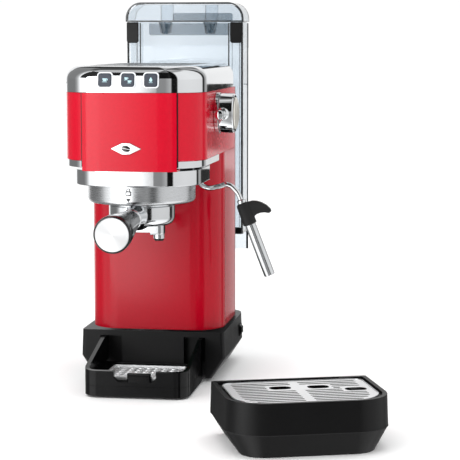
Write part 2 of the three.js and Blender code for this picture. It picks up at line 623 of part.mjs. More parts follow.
const valveX = bodyHalf - 17;
const stemStart = bodyHalf - 7;
piece('steam_valve', shaped(block(valveX - 12, stemStart, KNOB_Y - 11, KNOB_Y + 11, KNOB_Z - 11, KNOB_Z + 11), {
  add: [alongX(rod(3, 0, 20, 12)).translate(stemStart - 2, KNOB_Y, KNOB_Z)],
}), BRASS);
piece('steam_pipe', pipe([
  [blockHalf + GAP, -40, blockTop - 16], [valveX - 10, -39, blockTop - 16], [valveX - 4, -30, blockTop - 13],
  [valveX - 3, KNOB_Y - 2, blockTop - 5],
  [valveX - 3, KNOB_Y, KNOB_Z - 11 - 2 * GAP],
], 2, 14), BRUSHED);
piece('wand_feed', pipe([
  [valveX + 4, KNOB_Y + 6, KNOB_Z - 11 - 2 * GAP], [valveX + 3, KNOB_Y + 7, KNOB_Z - 22],
  [wandX + 1, WAND_Y - 1, PAN_BOTTOM + 15],
  [wandX, WAND_Y, PAN_BOTTOM + GAP],
], 2, 14), BRUSHED);

// ---------- steam knob ----------

const knobSet = groupAt(bodyHalf, KNOB_Y, KNOB_Z);
const knobStart = 4.3;
const knobEnd = knobStart + KNOB_DEPTH;
piece('knob_collar', alongX(ring(KNOB_RADIUS + 1.5, 6, GAP, knobStart - GAP)), CHROME, knobSet);
const lever = turned([
  [0, KNOB_RADIUS - 6], [3.6, KNOB_RADIUS - 6], [4.6, LEVER_REACH - 3], [3.4, LEVER_REACH], [0, LEVER_REACH],
], 12).rotateX(Math.PI / 2).translate(knobStart + 5, 0, -1);
piece('steam_knob', shaped(alongX(turned([
  [0, knobStart], [KNOB_RADIUS - 1, knobStart], [KNOB_RADIUS, knobStart + 1], [KNOB_RADIUS, knobEnd - 1],
  [KNOB_RADIUS - 1, knobEnd], [0, knobEnd],
], 28)), {
  add: [lever],
  cut: [alongX(rod(3 + GAP, knobStart - 1, 11 + GAP, 12))],
}), CHROME, knobSet);
piece('knob_cap', alongX(turned([
  [0, knobEnd + GAP], [KNOB_RADIUS - 3, knobEnd + GAP], [KNOB_RADIUS - 5, knobEnd + 1.6], [8, knobEnd + 2.8],
  [0, knobEnd + 3.2],
], 24)), BRUSHED, knobSet);

// ---------- steam wand ----------

const wandSet = groupAt(wandX, WAND_Y, PAN_BOTTOM);
piece('wand_socket', ring(7, 3.4, -6, -GAP, 16), CHROME, wandSet);
const gripTop = [44, -2, -42];
const tubeEnd = [52.2, -2, -63.2];
piece('wand_pipe', pipe([
  [0, 0, -1.2], [0, 0, -15], [0.6, -0.6, -21.5], [8.5, -2, -26.8], [19, -2, -25.7], [29, -2, -23.4],
  [37.5, -2, -29.2], gripTop,
], WAND_RADIUS, 24), CHROME, wandSet);
const lean = Math.atan2(tubeEnd[0] - gripTop[0], gripTop[2] - tubeEnd[2]);
const gripLength = Math.hypot(tubeEnd[0] - gripTop[0], gripTop[2] - tubeEnd[2]);
const gripSet = groupAt(gripTop[0], gripTop[1], gripTop[2], wandSet);
gripSet.rotation.y = -lean;
const finOutline = [
  at(0, -0.5), at(10, -0.5), at(19, -6), at(24.5, -14), at(25, -17.5), at(22, -18.5), at(15, -15.5), at(8, -15.5),
  at(4, -19.5), at(0, -19.5),
];
piece('wand_grip', shaped(turned([
  [0, -gripLength], [7, -gripLength], [6.6, -0.8], [5.4, -GAP], [0, -GAP],
], 16), {
  add: [frontPrism(finOutline, -3.6, 3.6)],
}), RUBBER, gripSet);
const sleeveTop = -gripLength - GAP;
piece('wand_sleeve', turned([
  [1.6, sleeveTop - SLEEVE_LENGTH], [SLEEVE_RADIUS - 0.6, sleeveTop - SLEEVE_LENGTH],
  [SLEEVE_RADIUS, sleeveTop - SLEEVE_LENGTH + 0.8], [SLEEVE_RADIUS, sleeveTop], [1.6, sleeveTop],
  [1.6, sleeveTop - SLEEVE_LENGTH],
], 20), BRUSHED, gripSet);

// ---------- portafilter ----------

const holder = groupAt(0, GROUP_Y, 0);
const cupNeck = COLLAR_BOTTOM - 0.6;
const throat = GROUP_LIP - 2 * GAP;
const cupInner = throat - CUP_WALL + 0.4;
const ears = [0, 180].map((turn) =>
  prism(earSector(turn - EAR_HALF, turn + EAR_HALF, EAR_REACH, throat - 2), lipTop + GAP, cupTop));
const handleZ = COLLAR_BOTTOM - 10;
const spoutBlock = [
  frontPrism(rounded(-SPOUT_PITCH / 2 - 6, SPOUT_PITCH / 2 + 6, SPOUT_BOTTOM + 5, CUP_BOTTOM - GAP, 3, 2, 3), -8, 8),
  ...[-1, 1].map((side) => rod(5.5, SPOUT_BOTTOM, SPOUT_BOTTOM + 11, 14).translate((side * SPOUT_PITCH) / 2, 0, 0)),
];
const neckDrop = Math.atan2(6, -HANDLE_END + GROUP_Y - CUP_RADIUS);
const towardsFront = (geometry) => geometry.rotateX(Math.PI / 2 + neckDrop);
piece('portafilter_cup', shaped(turned([
  [0, CUP_BOTTOM], [CUP_RADIUS - 8, CUP_BOTTOM], [CUP_RADIUS - 5, CUP_BOTTOM + 2], [CUP_RADIUS, CUP_BOTTOM + 8.5],
  [CUP_RADIUS, cupNeck], [throat, cupNeck], [throat, cupTop], [0, cupTop],
], 24), {
  add: [
    ...ears,
    towardsFront(turned([[0, 20], [9.5, 20], [7.5, 38], [8.5, 56], [0, 56]], 18)).translate(0, 0, handleZ),
  ],
  cut: [
    rod(cupInner, CUP_BOTTOM + 7, cupTop + 1, 24),
    ...[-1, 1].map((side) => rod(2.4, CUP_BOTTOM - 1, CUP_BOTTOM + 9, 8).translate(side * 8, 0, 0)),
  ],
}), CHROME, holder);
const basketOuter = cupInner - GAP;
const basketBottom = CUP_BOTTOM + 8;
piece('filter_basket', turned([
  [0, basketBottom], [basketOuter - 2, basketBottom], [basketOuter, basketBottom + 2], [basketOuter, cupTop + GAP],
  [throat, cupTop + GAP], [throat, rimTop], [basketOuter - BASKET_WALL, rimTop],
  [basketOuter - BASKET_WALL, basketBottom + 2.4], [basketOuter - 2.6, basketBottom + BASKET_WALL],
  [0, basketBottom + BASKET_WALL],
], 22), BRUSHED, holder);
const handleLength = (GROUP_Y - HANDLE_END) / Math.cos(neckDrop);
const discDepth = 1.2;
piece('portafilter_handle', towardsFront(turned([
  [0, 56 + GAP], [9.2, 56 + GAP], [10.5, 66], [13, 86], [16, 112], [HANDLE_RADIUS, handleLength - 8],
  [HANDLE_RADIUS, handleLength - 1], [HANDLE_RADIUS - 0.8, handleLength],
  [HANDLE_RADIUS - 1.4, handleLength], [HANDLE_RADIUS - 1.4, handleLength - discDepth - GAP],
  [0, handleLength - discDepth - GAP],
], 20)).translate(0, 0, handleZ), BLACK, holder);
piece('handle_disc', towardsFront(rod(HANDLE_RADIUS - 1.4 - GAP, handleLength - discDepth, handleLength, 20))
  .translate(0, 0, handleZ), BRUSHED, holder);
piece('spout_block', shaped(spoutBlock[0], {
  add: spoutBlock.slice(1),
  cut: [-1, 1].map((side) => rod(2.4, SPOUT_BOTTOM - 1, SPOUT_BOTTOM + 9, 10).translate((side * SPOUT_PITCH) / 2, 0, 0)),
}), CHROME, holder);

// ---------- water tank: modelled on its seat, shown lifted off it ----------

const tank = groupAt(0, TANK_BACK, TANK_UP);
const tankRear = TANK_FRONT + TANK_DEPTH;
const tankOutline = (inset) =>
  rounded(-tankHalf + inset, tankHalf - inset, TANK_FRONT + inset, tankRear - inset, 4 - inset / 2, 9 - inset, 4);
const recessHalf = tankHalf - TANK_COLUMN;
const outletRadius = 9;
const valveHole = 4.5;
piece('tank_body', shaped(prism(tankOutline(0), TANK_BOTTOM, TANK_RIM), {
  add: [
    block(-tankHalf + 2, tankHalf - 2, tankRear - TANK_WALL, tankRear, SKIN_BOTTOM, TANK_BOTTOM + 1),
    rod(outletRadius, TANK_BOTTOM - 3, TANK_BOTTOM + 1).translate(nippleX, nippleY, 0),
  ],
  cut: [
    shaped(prism(tankOutline(TANK_WALL), TANK_BOTTOM + TANK_WALL, TANK_RIM + 1), {
      cut: [block(-recessHalf - TANK_WALL, recessHalf + TANK_WALL, TANK_FRONT - 1,
        TANK_FRONT + TANK_RECESS + TANK_WALL, TANK_BOTTOM, TANK_RIM + 2)],
    }),
    block(-recessHalf, recessHalf, TANK_FRONT - 1, TANK_FRONT + TANK_RECESS, TANK_BOTTOM - 1, TANK_RIM - 2),
    rod(valveHole, TANK_BOTTOM - 4, TANK_BOTTOM + TANK_WALL + 1, 16).translate(nippleX, nippleY, 0),
  ],
}), SMOKE, tank);

const lidBottom = TANK_RIM + GAP;
const lidOutline = (inset) => {
  const side = tankHalf + 1 - inset;
  return rounded(-side, side, lidBottom - inset, LID_TOP - inset, 0.5, LID_RADIUS - inset, 6);
};
const pegs = [-23, 28].map((x) =>
  turned([[0, lidBottom - 13], [5, lidBottom - 13], [7.5, lidBottom + 1], [7.5, LID_TOP - 1], [0, LID_TOP - 1]], 14)
    .translate(x, TANK_FRONT + 20, 0));
piece('tank_lid', shaped(frontPrism(lidOutline(0), TANK_FRONT, tankRear), {
  cut: [shaped(frontPrism(lidOutline(TANK_WALL), TANK_FRONT + TANK_WALL, tankRear - TANK_WALL), { cut: pegs })],
}), SMOKE, tank);

for (const [name, side] of [['tank_pad_left', -1], ['tank_pad_right', 1]]) {
  const pad = frontPrism(rounded(-6.8, 6.8, -11.5, 11.5, 1.5, 1.5, 2), -2.4, -GAP);
  piece(name, pad, RUBBER, tank).position.set(side * (tankHalf - 7.2), TANK_FRONT, TANK_RIM - 11.8);
}

piece('tank_valve', turned([
  [0, TANK_BOTTOM - 4.5], [3, TANK_BOTTOM - 4.5], [3, TANK_BOTTOM + TANK_WALL + GAP],
  [7, TANK_BOTTOM + TANK_WALL + GAP], [7, TANK_BOTTOM + TANK_WALL + 2.5], [0, TANK_BOTTOM + TANK_WALL + 5],
], 16), RUBBER, tank).position.set(nippleX, nippleY, 0);

const seatTop = TANK_BOTTOM - GAP;
const pocketFloor = TANK_BOTTOM - 4.8;
const seatHalf = tankHalf - 16;
piece('tank_seat', shaped(block(-seatHalf, seatHalf, TANK_FRONT + 1, BASE_DEPTH - 6, BASE_TOP + GAP, seatTop), {
  add: [rod(5, BASE_TOP - 7.7, BASE_TOP + 1).translate(nippleX, nippleY, 0)],
  cut: [
    rod(outletRadius + 3, pocketFloor, seatTop + 1).translate(nippleX, nippleY, 0),
    rod(2.5, BASE_TOP - 9, seatTop + 1, 12).translate(nippleX, nippleY, 0),
  ],
}), BLACK);

// ---------- lower tray ----------

const lowerOutline = (inset, y0, y1) =>
  rounded(-lowerHalf + inset, lowerHalf - inset, y0, y1, LOWER_RADIUS - inset, 0.4, 5);
const trayBack = -2 * GAP;
piece('lower_tray_foot', shaped(prism(lowerOutline(0, -LOWER_LENGTH, trayBack), LOWER_FOOT_BOTTOM, LOWER_SEAM), {
  add: [-1, 1].map((side) => rod(5, 0, 3, 12).translate(side * (lowerHalf - 14), -LOWER_LENGTH + 14, 0)),
}), BLACK);

const trayFloor = LOWER_SEAM + 4;
const cheekSide = [
  at(-LOWER_LENGTH - 1, LOWER_SEAM + GAP), at(ARM_REACH, LOWER_SEAM + GAP), at(ARM_REACH, CHEEK_TOP),
  at(-8, CHEEK_TOP), at(-LOWER_LENGTH + 8, LOWER_RIM + 0.8), at(-LOWER_LENGTH - 1, LOWER_RIM),
];
const inner = lowerHalf - CHEEK;
const notch = [at(-21, LOWER_RIM + 6), at(-21, LOWER_RIM - 6), at(-16.5, trayFloor + GAP), at(16.5, trayFloor + GAP),
  at(21, LOWER_RIM - 6), at(21, LOWER_RIM + 6)];
const gridHalf = 38;
const gridFront = -LOWER_LENGTH + 24;
const gridBack = -9;
piece('lower_tray', shaped(prism(lowerOutline(0, -LOWER_LENGTH, ARM_REACH), LOWER_SEAM + GAP, CHEEK_TOP + 1), {
  cut: [
    prism(lowerOutline(CHEEK, -LOWER_LENGTH + CHEEK, -5), trayFloor, CHEEK_TOP + 2),
    block(-inner, inner, -6, ARM_REACH + 1, trayFloor + 3, CHEEK_TOP + 2),
    block(-inner, inner, trayBack, ARM_REACH + 1, 0, CHEEK_TOP + 2),
    ...[-1, 1].map((side) => block(side * lowerHalf - CHEEK, side * lowerHalf + CHEEK, trayBack, ARM_REACH + 1, 0, 20)),
    block(-gridHalf - GAP, gridHalf + GAP, gridFront - GAP, gridBack + GAP, trayFloor - 1.5, trayFloor + 1),
    block(-gridHalf + 4, gridHalf - 4, gridFront + 4, gridBack - 4, trayFloor - 2.6, trayFloor),
    frontPrism(notch, -LOWER_LENGTH - 1, -LOWER_LENGTH + CHEEK + 1),
  ],
  keep: [sidePrism(cheekSide, -lowerHalf - 1, lowerHalf + 1)],
}), BLACK);

const gridHoles = [0, 1, 2].flatMap((row) =>
  Array.from({ length: 6 }, (_, i) =>
    rod(4, 0, 40, 6).translate(-gridHalf + 10.5 + 11 * i, gridFront + 15 + 14 * row, 0)));
piece('lower_grid', shaped(block(-gridHalf, gridHalf, gridFront, gridBack, trayFloor - 1.2, trayFloor), {
  cut: gridHoles,
}), CHROME);

// ---------- drip tray: y = 0 is its back edge, z = 0 the worktop ----------

const drip = groupAt(DRIP_X, DRIP_Y, 0);
drip.rotation.z = degrees(DRIP_TURN);
const dripHalf = baseHalf - DRIP_INSET;
const dripWall = 2;
const dripKink = BASE_KINK - BASE_BOTTOM;
const dripOutline = (side, front, back, radius = DRIP_RADIUS - side) =>
  rounded(-dripHalf + side, dripHalf - side, -DRIP_LENGTH + front, -back, radius, 1.5, 7);
const shelf = DRIP_HEIGHT - 2.6;
const basinHalf = lowerHalf - CHEEK - 3;
const basinFloor = LOWER_RIM - BASE_BOTTOM + 5;
const underTop = shelf - 1.8;
const basinWalls = block(-basinHalf - dripWall, basinHalf + dripWall, -DRIP_LENGTH + 9, -0.2,
  basinFloor - dripWall, shelf - 1);
const skirt = shaped(loft([
  { outline: dripOutline(DRIP_SLANT, DRIP_FRONT_SLANT, 0, DRIP_RADIUS - DRIP_SLANT), z: 0 },
  { outline: dripOutline(0, 0, 0), z: dripKink },
  { outline: dripOutline(BASE_TAPER, BASE_TAPER, 0), z: DRIP_HEIGHT },
]), {
  cut: [loft([
    { outline: dripOutline(DRIP_SLANT + dripWall, DRIP_FRONT_SLANT + dripWall, dripWall), z: 0 - GAP / 10 },
    { outline: dripOutline(dripWall, dripWall, dripWall), z: dripKink },
    { outline: dripOutline(dripWall + BASE_TAPER, dripWall + BASE_TAPER, dripWall), z: underTop },
  ])],
});
const deckInset = 5;
const armSlots = [-1, 1].map((side) => {
  const middle = side * (lowerHalf - CHEEK / 2);
  return block(middle - CHEEK / 2 - 1, middle + CHEEK / 2 + 1, -dripWall - 1, 1, -1, underTop);
});
piece('drip_tub', shaped(skirt, {
  add: [basinWalls],
  cut: [
    prism(rounded(-basinHalf, basinHalf, -DRIP_LENGTH + 9 + dripWall, -2.4, 4, 2, 3), basinFloor, DRIP_HEIGHT + 1),
    prism(dripOutline(deckInset, deckInset, deckInset, DRIP_RADIUS - deckInset), shelf, DRIP_HEIGHT + 1),
    ...armSlots,
  ],
}), BLACK, drip);

const rows = 7;
const rowPitch = (DRIP_LENGTH - 2 * deckInset - 14) / (rows - 1);
const slots = Array.from({ length: rows }, (_, i) => {
  const y = -DRIP_LENGTH + deckInset + 7 + rowPitch * i;
  const reach = i === 0 ? dripHalf - 34 : dripHalf - 18;
  return [block(-reach, -4, y - 1, y + 1, 0, 60), block(4, reach, y - 1, y + 1, 0, 60)];
}).flat();
const ovalPlaces = [[-15.5, -35], [18.5, -36], [49, -50]];
const ovals = ovalPlaces.map(([x, y]) => prism(rounded(x - 8, x + 8, y - 4, y + 4, 3.9, 3.9, 3), 0, 60));
const ovalPads = ovalPlaces.map(([x, y]) => block(x - 12, x + 12, y - 8, y + 8, 0, 60));
const deckOutline = dripOutline(deckInset + GAP, deckInset + GAP, deckInset + GAP, DRIP_RADIUS - deckInset - GAP);
piece('drip_deck', shaped(prism(deckOutline, shelf + GAP, shelf + GAP + DECK), {
  cut: [...slots.map((slot) => shaped(slot, { cut: ovalPads })), ...ovals],
}), BRUSHED, drip);

// ---------- the whole, standing centred on the origin ----------

const espressoMachine = new THREE.Group();
espressoMachine.add(machine);
espressoMachine.updateMatrixWorld(true);
const box = new THREE.Box3().setFromObject(machine, true);
machine.position.set(-(box.min.x + box.max.x) / 2, -(box.min.y + box.max.y) / 2, -box.min.z);

export default espressoMachine;
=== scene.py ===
"""The looks of a slim espresso machine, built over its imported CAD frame."""

import logging
import math
from collections.abc import Callable, Iterable, Sequence
from dataclasses import dataclass, replace
from enum import Enum

import bmesh
import bpy
from mathutils import Matrix, Vector


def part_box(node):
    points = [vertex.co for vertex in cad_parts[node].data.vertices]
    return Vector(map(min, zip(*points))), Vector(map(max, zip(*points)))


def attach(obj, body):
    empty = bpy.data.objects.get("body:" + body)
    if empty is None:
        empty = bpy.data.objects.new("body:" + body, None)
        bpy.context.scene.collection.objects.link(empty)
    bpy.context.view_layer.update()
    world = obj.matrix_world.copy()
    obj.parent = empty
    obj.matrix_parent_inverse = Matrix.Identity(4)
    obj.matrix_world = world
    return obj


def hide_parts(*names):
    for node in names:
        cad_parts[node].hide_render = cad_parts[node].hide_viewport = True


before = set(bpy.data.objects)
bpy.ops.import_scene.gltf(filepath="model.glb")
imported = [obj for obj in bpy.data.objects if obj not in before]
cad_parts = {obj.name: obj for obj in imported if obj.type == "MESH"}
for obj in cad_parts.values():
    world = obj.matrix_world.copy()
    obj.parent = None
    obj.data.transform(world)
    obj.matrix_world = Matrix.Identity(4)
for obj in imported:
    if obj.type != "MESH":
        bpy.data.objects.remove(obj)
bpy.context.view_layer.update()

LOG = logging.getLogger("espresso_machine")
MM = 0.001
SMOOTH_BELOW = math.radians(32)
Point = tuple[float, float, float]
Pair = tuple[float, float]
Profile = Sequence[Pair]
Test = Callable[[Vector], bool]
Tree = bpy.types.NodeTree
Socket = bpy.types.NodeSocket


class Side(Enum):
    """The machine's two sides, as the sign of x."""

    LEFT = -1
    RIGHT = 1


class Grain(Enum):
    """How far a surface pattern runs along x, y and z, as a share of its spacing."""

    EVEN = (1.0, 1.0, 1.0)
    ALONG_X = (60.0, 1.0, 1.0)
    ALONG_Y = (1.0, 60.0, 1.0)
    AROUND_Z = (40.0, 40.0, 1.0)


# ---------- axes ----------


@dataclass(frozen=True)
class Axes:
    """A set of axes in millimetres, with the matrix that takes them to the frame's metres."""

    matrix: Matrix

    def box(self, node: str) -> tuple[Vector, Vector]:
        """Lowest and highest corner of a CAD node on these axes.

        Args:
            node: The CAD node's name.

        Returns:
            The two corners, in millimetres.
        """
        back = self.matrix.inverted()
        points = [back @ v.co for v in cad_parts[node].data.vertices]
        low = Vector(min(p[i] for p in points) for i in range(3))
        high = Vector(max(p[i] for p in points) for i in range(3))
        return low, high

    def at(self, place: Point, angle: float = 0.0, about: str = "Z") -> "Axes":
        """Axes that start at a place on these and are turned about one of them.

        Args:
            place: Where the new axes start, in millimetres.
            angle: How far they are turned, in degrees.
            about: The axis that they are turned about.

        Returns:
            The new axes.
        """
        turn = Matrix.Rotation(math.radians(angle), 4, about)
        return Axes(self.matrix @ Matrix.Translation(place) @ turn)


def machine_axes() -> Axes:
    """The machine's own axes: x from its centre plane, y from the front of its base, z from the worktop."""
    low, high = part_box("base_shell")
    start = Vector(((low.x + high.x) / 2, low.y, 0.0))
    return Axes(Matrix.Translation(start) @ Matrix.Scale(MM, 4))


# ---------- finishes ----------


def linear(colour: str) -> tuple[float, float, float, float]:
    """An sRGB hex colour as linear red, green, blue and alpha."""
    parts = [int(colour[i : i + 2], 16) / 255 for i in (0, 2, 4)]
    red, green, blue = (c / 12.92 if c <= 0.04045 else ((c + 0.055) / 1.055) ** 2.4 for c in parts)
    return red, green, blue, 1.0


def add_node(
    tree: Tree, kind: str, inputs: dict[str | int, object] | None = None, **settings: object
) -> bpy.types.Node:
    """Adds a shader node.

    Args:
        tree: The node tree that it goes in.
        kind: The node's type.
        inputs: What goes into it: an output socket is linked, anything else is set as the value.
        **settings: The node's own settings.

    Returns:
        The new node.
    """
    node = tree.nodes.new(kind)
    for name, value in settings.items():
        setattr(node, name, value)
    for name, value in (inputs or {}).items():
        if isinstance(value, Socket):
            tree.links.new(value, node.inputs[name])
        else:
            node.inputs[name].default_value = value
    return node


def reckoned(tree: Tree, operation: str, *values: Socket | float) -> Socket:
    """The result of one sum on sockets and numbers."""
    return add_node(tree, "ShaderNodeMath", dict(enumerate(values)), operation=operation).outputs[0]


def mapped(tree: Tree, value: Socket, start: float, end: float, low: float, high: float) -> Socket:
    """A socket's value, with its stretch from start to end made to run from low to high."""
    ends = {"From Min": start, "From Max": end, "To Min": low, "To Max": high}
    return add_node(tree, "ShaderNodeMapRange", {"Value": value, **ends}).outputs["Result"]


def tinted(tree: Tree, share: Socket, *stops: tuple[float, Sequence[float]]) -> Socket:
    """A colour that goes from one tint to another, each given with its place on the ramp."""
    ramp = add_node(tree, "ShaderNodeValToRGB", {"Fac": share})
    for stop, (place, colour) in zip(ramp.color_ramp.elements, stops):
        stop.position = place
        stop.color = colour
    return ramp.outputs["Color"]


def relief(tree: Tree, height: Socket, depth: float) -> Socket:
    """The surface direction under a pattern of a depth in millimetres."""
    return add_node(
        tree, "ShaderNodeBump", {"Height": height, "Distance": depth * MM, "Strength": 1.0}
    ).outputs["Normal"]


@dataclass(frozen=True)
class Finish:
    """A surface with a fine pattern in its tone, its gloss and its height.

    spacing is the pattern's real size in millimetres, depth its height in millimetres, tone and
    gloss how far the colour and the roughness move about their middle, and constants the shader's
    own sockets that are the same all over.
    """

    name: str
    colour: str
    roughness: float
    metallic: float = 0.0
    grain: Grain = Grain.EVEN
    spacing: float = 1.5
    depth: float = 0.01
    tone: float = 0.04
    gloss: float = 0.04
    cloud: float = 60.0
    constants: tuple[tuple[str, float], ...] = ()

    def material(self) -> bpy.types.Material:
        """The finish as a Blender material, made the first time that it is asked for."""
        found = bpy.data.materials.get(self.name)
        if found:
            return found
        material = bpy.data.materials.new(self.name)
        material.use_nodes = True
        tree = material.node_tree
        tree.nodes.clear()
        shader = add_node(tree, "ShaderNodeBsdfPrincipled", {"Metallic": self.metallic})
        for name, value in self.constants:
            shader.inputs[name].default_value = value
        self.dress(tree, shader)
        add_node(tree, "ShaderNodeOutputMaterial", {"Surface": shader.outputs["BSDF"]})
        return material

    def dress(self, tree: Tree, shader: bpy.types.Node) -> None:
        """Draws the fine pattern, and slow clouds of handling and casting over it.

        Args:
            tree: The material's node tree.
            shader: Its Principled shader.
        """
        place = add_node(tree, "ShaderNodeTexCoord").outputs["Object"]
        scale = [1 / (self.spacing * MM * share) for share in self.grain.value]
        fine_place = add_node(tree, "ShaderNodeMapping", {"Vector": place, "Scale": scale})
        fine = add_node(
            tree, "ShaderNodeTexNoise", {"Vector": fine_place.outputs["Vector"], "Scale": 1.0, "Detail": 3.0}
        )
        slow = add_node(tree, "ShaderNodeTexNoise", {"Vector": place, "Scale": 1 / (self.cloud * MM)})
        both = reckoned(tree, "ADD", fine.outputs["Fac"], slow.outputs["Fac"])
        dullest = self.roughness + self.gloss
        rough = mapped(tree, both, 0.7, 1.3, max(0.01, self.roughness - self.gloss), dullest)
        tree.links.new(rough, shader.inputs["Roughness"])
        middle = linear(self.colour)
        dark = tuple(c * (1 - self.tone) for c in middle[:3]) + (1.0,)
        light = tuple(min(1.0, c * (1 + self.tone)) for c in middle[:3]) + (1.0,)
        tint = tinted(tree, fine.outputs["Fac"], (0.3, dark), (0.7, light))
        tree.links.new(tint, shader.inputs["Base Color"])
        tree.links.new(relief(tree, fine.outputs["Fac"], self.depth), shader.inputs["Normal"])


@dataclass(frozen=True)
class SpunFinish(Finish):
    """Metal faced on a lathe: fine rings round an axis, which pull each light out into a bright wedge, and
    bright and dark wedges painted into its colour as painted highlights.
    """

    axes: Axes | None = None
    stretch: float = 0.5
    # The angle of the painted highlight wedges round the axis, and how dark the colour is painted between
    # them.
    wedge: float = -0.52
    painted_wedge_low: float = 0.7

    def dress(self, tree: Tree, shader: bpy.types.Node) -> None:
        """Draws the lathe's rings, turns the gloss along them, and paints bright and dark wedges into the
        colour round the axis as painted highlights.

        Args:
            tree: The material's node tree.
            shader: Its Principled shader.
        """
        super().dress(tree, shader)
        centre = self.axes.matrix.translation
        axis = self.axes.matrix.to_3x3().col[2].normalized()
        place = add_node(tree, "ShaderNodeTexCoord").outputs["Object"]
        spoke = add_node(tree, "ShaderNodeVectorMath", {0: place, 1: centre}, operation="SUBTRACT")
        along = add_node(
            tree, "ShaderNodeVectorMath", {0: axis, 1: spoke.outputs["Vector"]}, operation="CROSS_PRODUCT"
        )
        world = add_node(
            tree,
            "ShaderNodeVectorTransform",
            {"Vector": along.outputs["Vector"]},
            vector_type="VECTOR",
            convert_from="OBJECT",
            convert_to="WORLD",
        )
        tree.links.new(world.outputs["Vector"], shader.inputs["Tangent"])
        shader.inputs["Anisotropic"].default_value = self.stretch
        radius = add_node(tree, "ShaderNodeVectorMath", {0: spoke.outputs["Vector"]}, operation="LENGTH")
        rings = add_node(
            tree,
            "ShaderNodeTexNoise",
            {"W": radius.outputs["Value"], "Scale": 1 / (self.spacing * MM), "Detail": 2.0},
            noise_dimensions="1D",
        )
        tree.links.new(relief(tree, rings.outputs["Fac"], self.depth), shader.inputs["Normal"])
        # Painted highlight: the base colour is lightened and darkened in two pairs of wedges round the axis,
        # copying the spun finish's reflections.
        columns = self.axes.matrix.to_3x3().col
        across, up = (
            add_node(
                tree, "ShaderNodeVectorMath", {0: spoke.outputs["Vector"], 1: columns[i].normalized()},
                operation="DOT_PRODUCT",
            ).outputs["Value"]
            for i in (0, 1)
        )
        angle = reckoned(tree, "ARCTAN2", up, across)
        painted_wedge_wave = reckoned(tree, "SINE", reckoned(tree, "MULTIPLY_ADD", angle, 2.0, self.wedge))
        tone = mapped(tree, painted_wedge_wave, -1.0, 1.0, self.painted_wedge_low, 1.0)
        middle = linear(self.colour)
        painted_wedge_colour = add_node(
            tree, "ShaderNodeVectorMath", {0: middle[:3], 3: tone}, operation="SCALE"
        )
        tree.links.new(painted_wedge_colour.outputs["Vector"], shader.inputs["Base Color"])


@dataclass(frozen=True)
class SmokedFinish(Finish):
    """Clear moulded plastic with a smoky tint, darker where the wall is seen along its length."""

    edge_colour: str = "46525A"

    def dress(self, tree: Tree, shader: bpy.types.Node) -> None:
        """Darkens the tint towards grazing angles, over the usual pattern.

        Args:
            tree: The material's node tree.
            shader: Its Principled shader.
        """
        super().dress(tree, shader)
        facing = add_node(tree, "ShaderNodeLayerWeight", {"Blend": 0.35})
        tint = tinted(
            tree, facing.outputs["Facing"], (0.35, linear(self.colour)), (1.0, linear(self.edge_colour))
        )
        tree.links.new(tint, shader.inputs["Base Color"])


# Steel sheet, primed and baked with gloss enamel. The paint draws up into a soft peel of about 3 mm, and a
# clear top coat gives sharp highlights over a broad sheen.
RED_ENAMEL = Finish(
    "baked_red_enamel",
    "CC0024",
    0.17,
    spacing=3.0,
    depth=0.003,
    tone=0.03,
    gloss=0.03,
    constants=(("IOR", 1.5), ("Specular IOR Level", 0.3), ("Coat Weight", 0.08), ("Coat Roughness", 0.08)),
)
# The same enamel on the tall column, a shade deeper as painted shade from the head above it, with the same
# peel and sheen.
SHADED_ENAMEL = replace(RED_ENAMEL, name="baked_red_enamel_painted_shade", colour="B4001D")
# Pressed steel, polished and chrome plated: a mirror with the faintest pull of the press tool.
CHROME_PLATE = Finish(
    "chrome_plated_steel", "E4E6E8", 0.06, 1.0, spacing=22.0, depth=0.03, tone=0.01, gloss=0.025
)
# Zinc casting, polished and chromed: a mirror that is a little softer and less flat than pressed steel.
CHROME_CASTING = Finish(
    "chrome_plated_casting", "DFE1E3", 0.09, 1.0, spacing=14.0, depth=0.04, tone=0.015, gloss=0.03
)
# Brushed aluminium, darker than the chrome round it. Its lines are drawn at 0.6 mm so that they show.
WARMING_SHEET = Finish(
    "brushed_warming_plate", "7E8082", 0.34, 1.0, Grain.ALONG_Y, 0.6, 0.01, 0.12, 0.08
)
# Stainless steel brushed on a lathe, so the lines run round the axis. Real lines are 0.1 mm apart; they are
# drawn at 0.5 mm so that they show.
BRUSHED_ROUND = Finish(
    "turned_brushed_stainless", "D2D4D6", 0.27, 1.0, Grain.AROUND_Z, 0.5, 0.006, 0.06, 0.04
)
# Aluminium as cast and lightly blasted: dull, with a 1 mm pebble.
CAST_ALUMINIUM = Finish("cast_aluminium", "9A9DA0", 0.48, 1.0, spacing=1.2, depth=0.08, tone=0.1, gloss=0.1)
# Anodised aluminium, satin: pale, slightly warm, with soft highlights.
SATIN_ALUMINIUM = Finish(
    "satin_anodised_aluminium", "E6E3DA", 0.34, 0.7, spacing=1.0, depth=0.01, tone=0.04, gloss=0.05
)
# Stainless tube with a fine drawn finish along its length, brighter than brushed sheet.
SLEEVE_STEEL = Finish("drawn_stainless_tube", "D6D8DA", 0.2, 1.0, Grain.EVEN, 1.6, 0.003, 0.02, 0.03)
# Stainless deck plate, brushed across the tray: pale, with soft reflections.
BRUSHED_DECK = Finish("brushed_deck_plate", "E9EAEB", 0.38, 0.75, Grain.EVEN, 1.4, 0.008, 0.05, 0.06)
# Stamped stainless grid: bright and a little uneven from the press.
STAMPED_GRID = Finish("stamped_stainless_grid", "ECEDEE", 0.34, 0.7, Grain.EVEN, 2.5, 0.02, 0.05, 0.08)
# Brass turned from bar: warm, and fairly bright.
BRASS = Finish("turned_brass", "C39A4E", 0.28, 1.0, Grain.ALONG_X, 0.6, 0.01, 0.08, 0.06)
# ABS moulded in a spark-eroded tool. Its grain is about 0.3 mm; it is drawn at 1.2 mm so that it shows.
SATIN_ABS = Finish(
    "satin_black_abs", "0A0A0B", 0.4, spacing=1.2, depth=0.02, tone=0.12, gloss=0.07,
    constants=(("IOR", 1.53), ("Specular IOR Level", 0.22)),
)
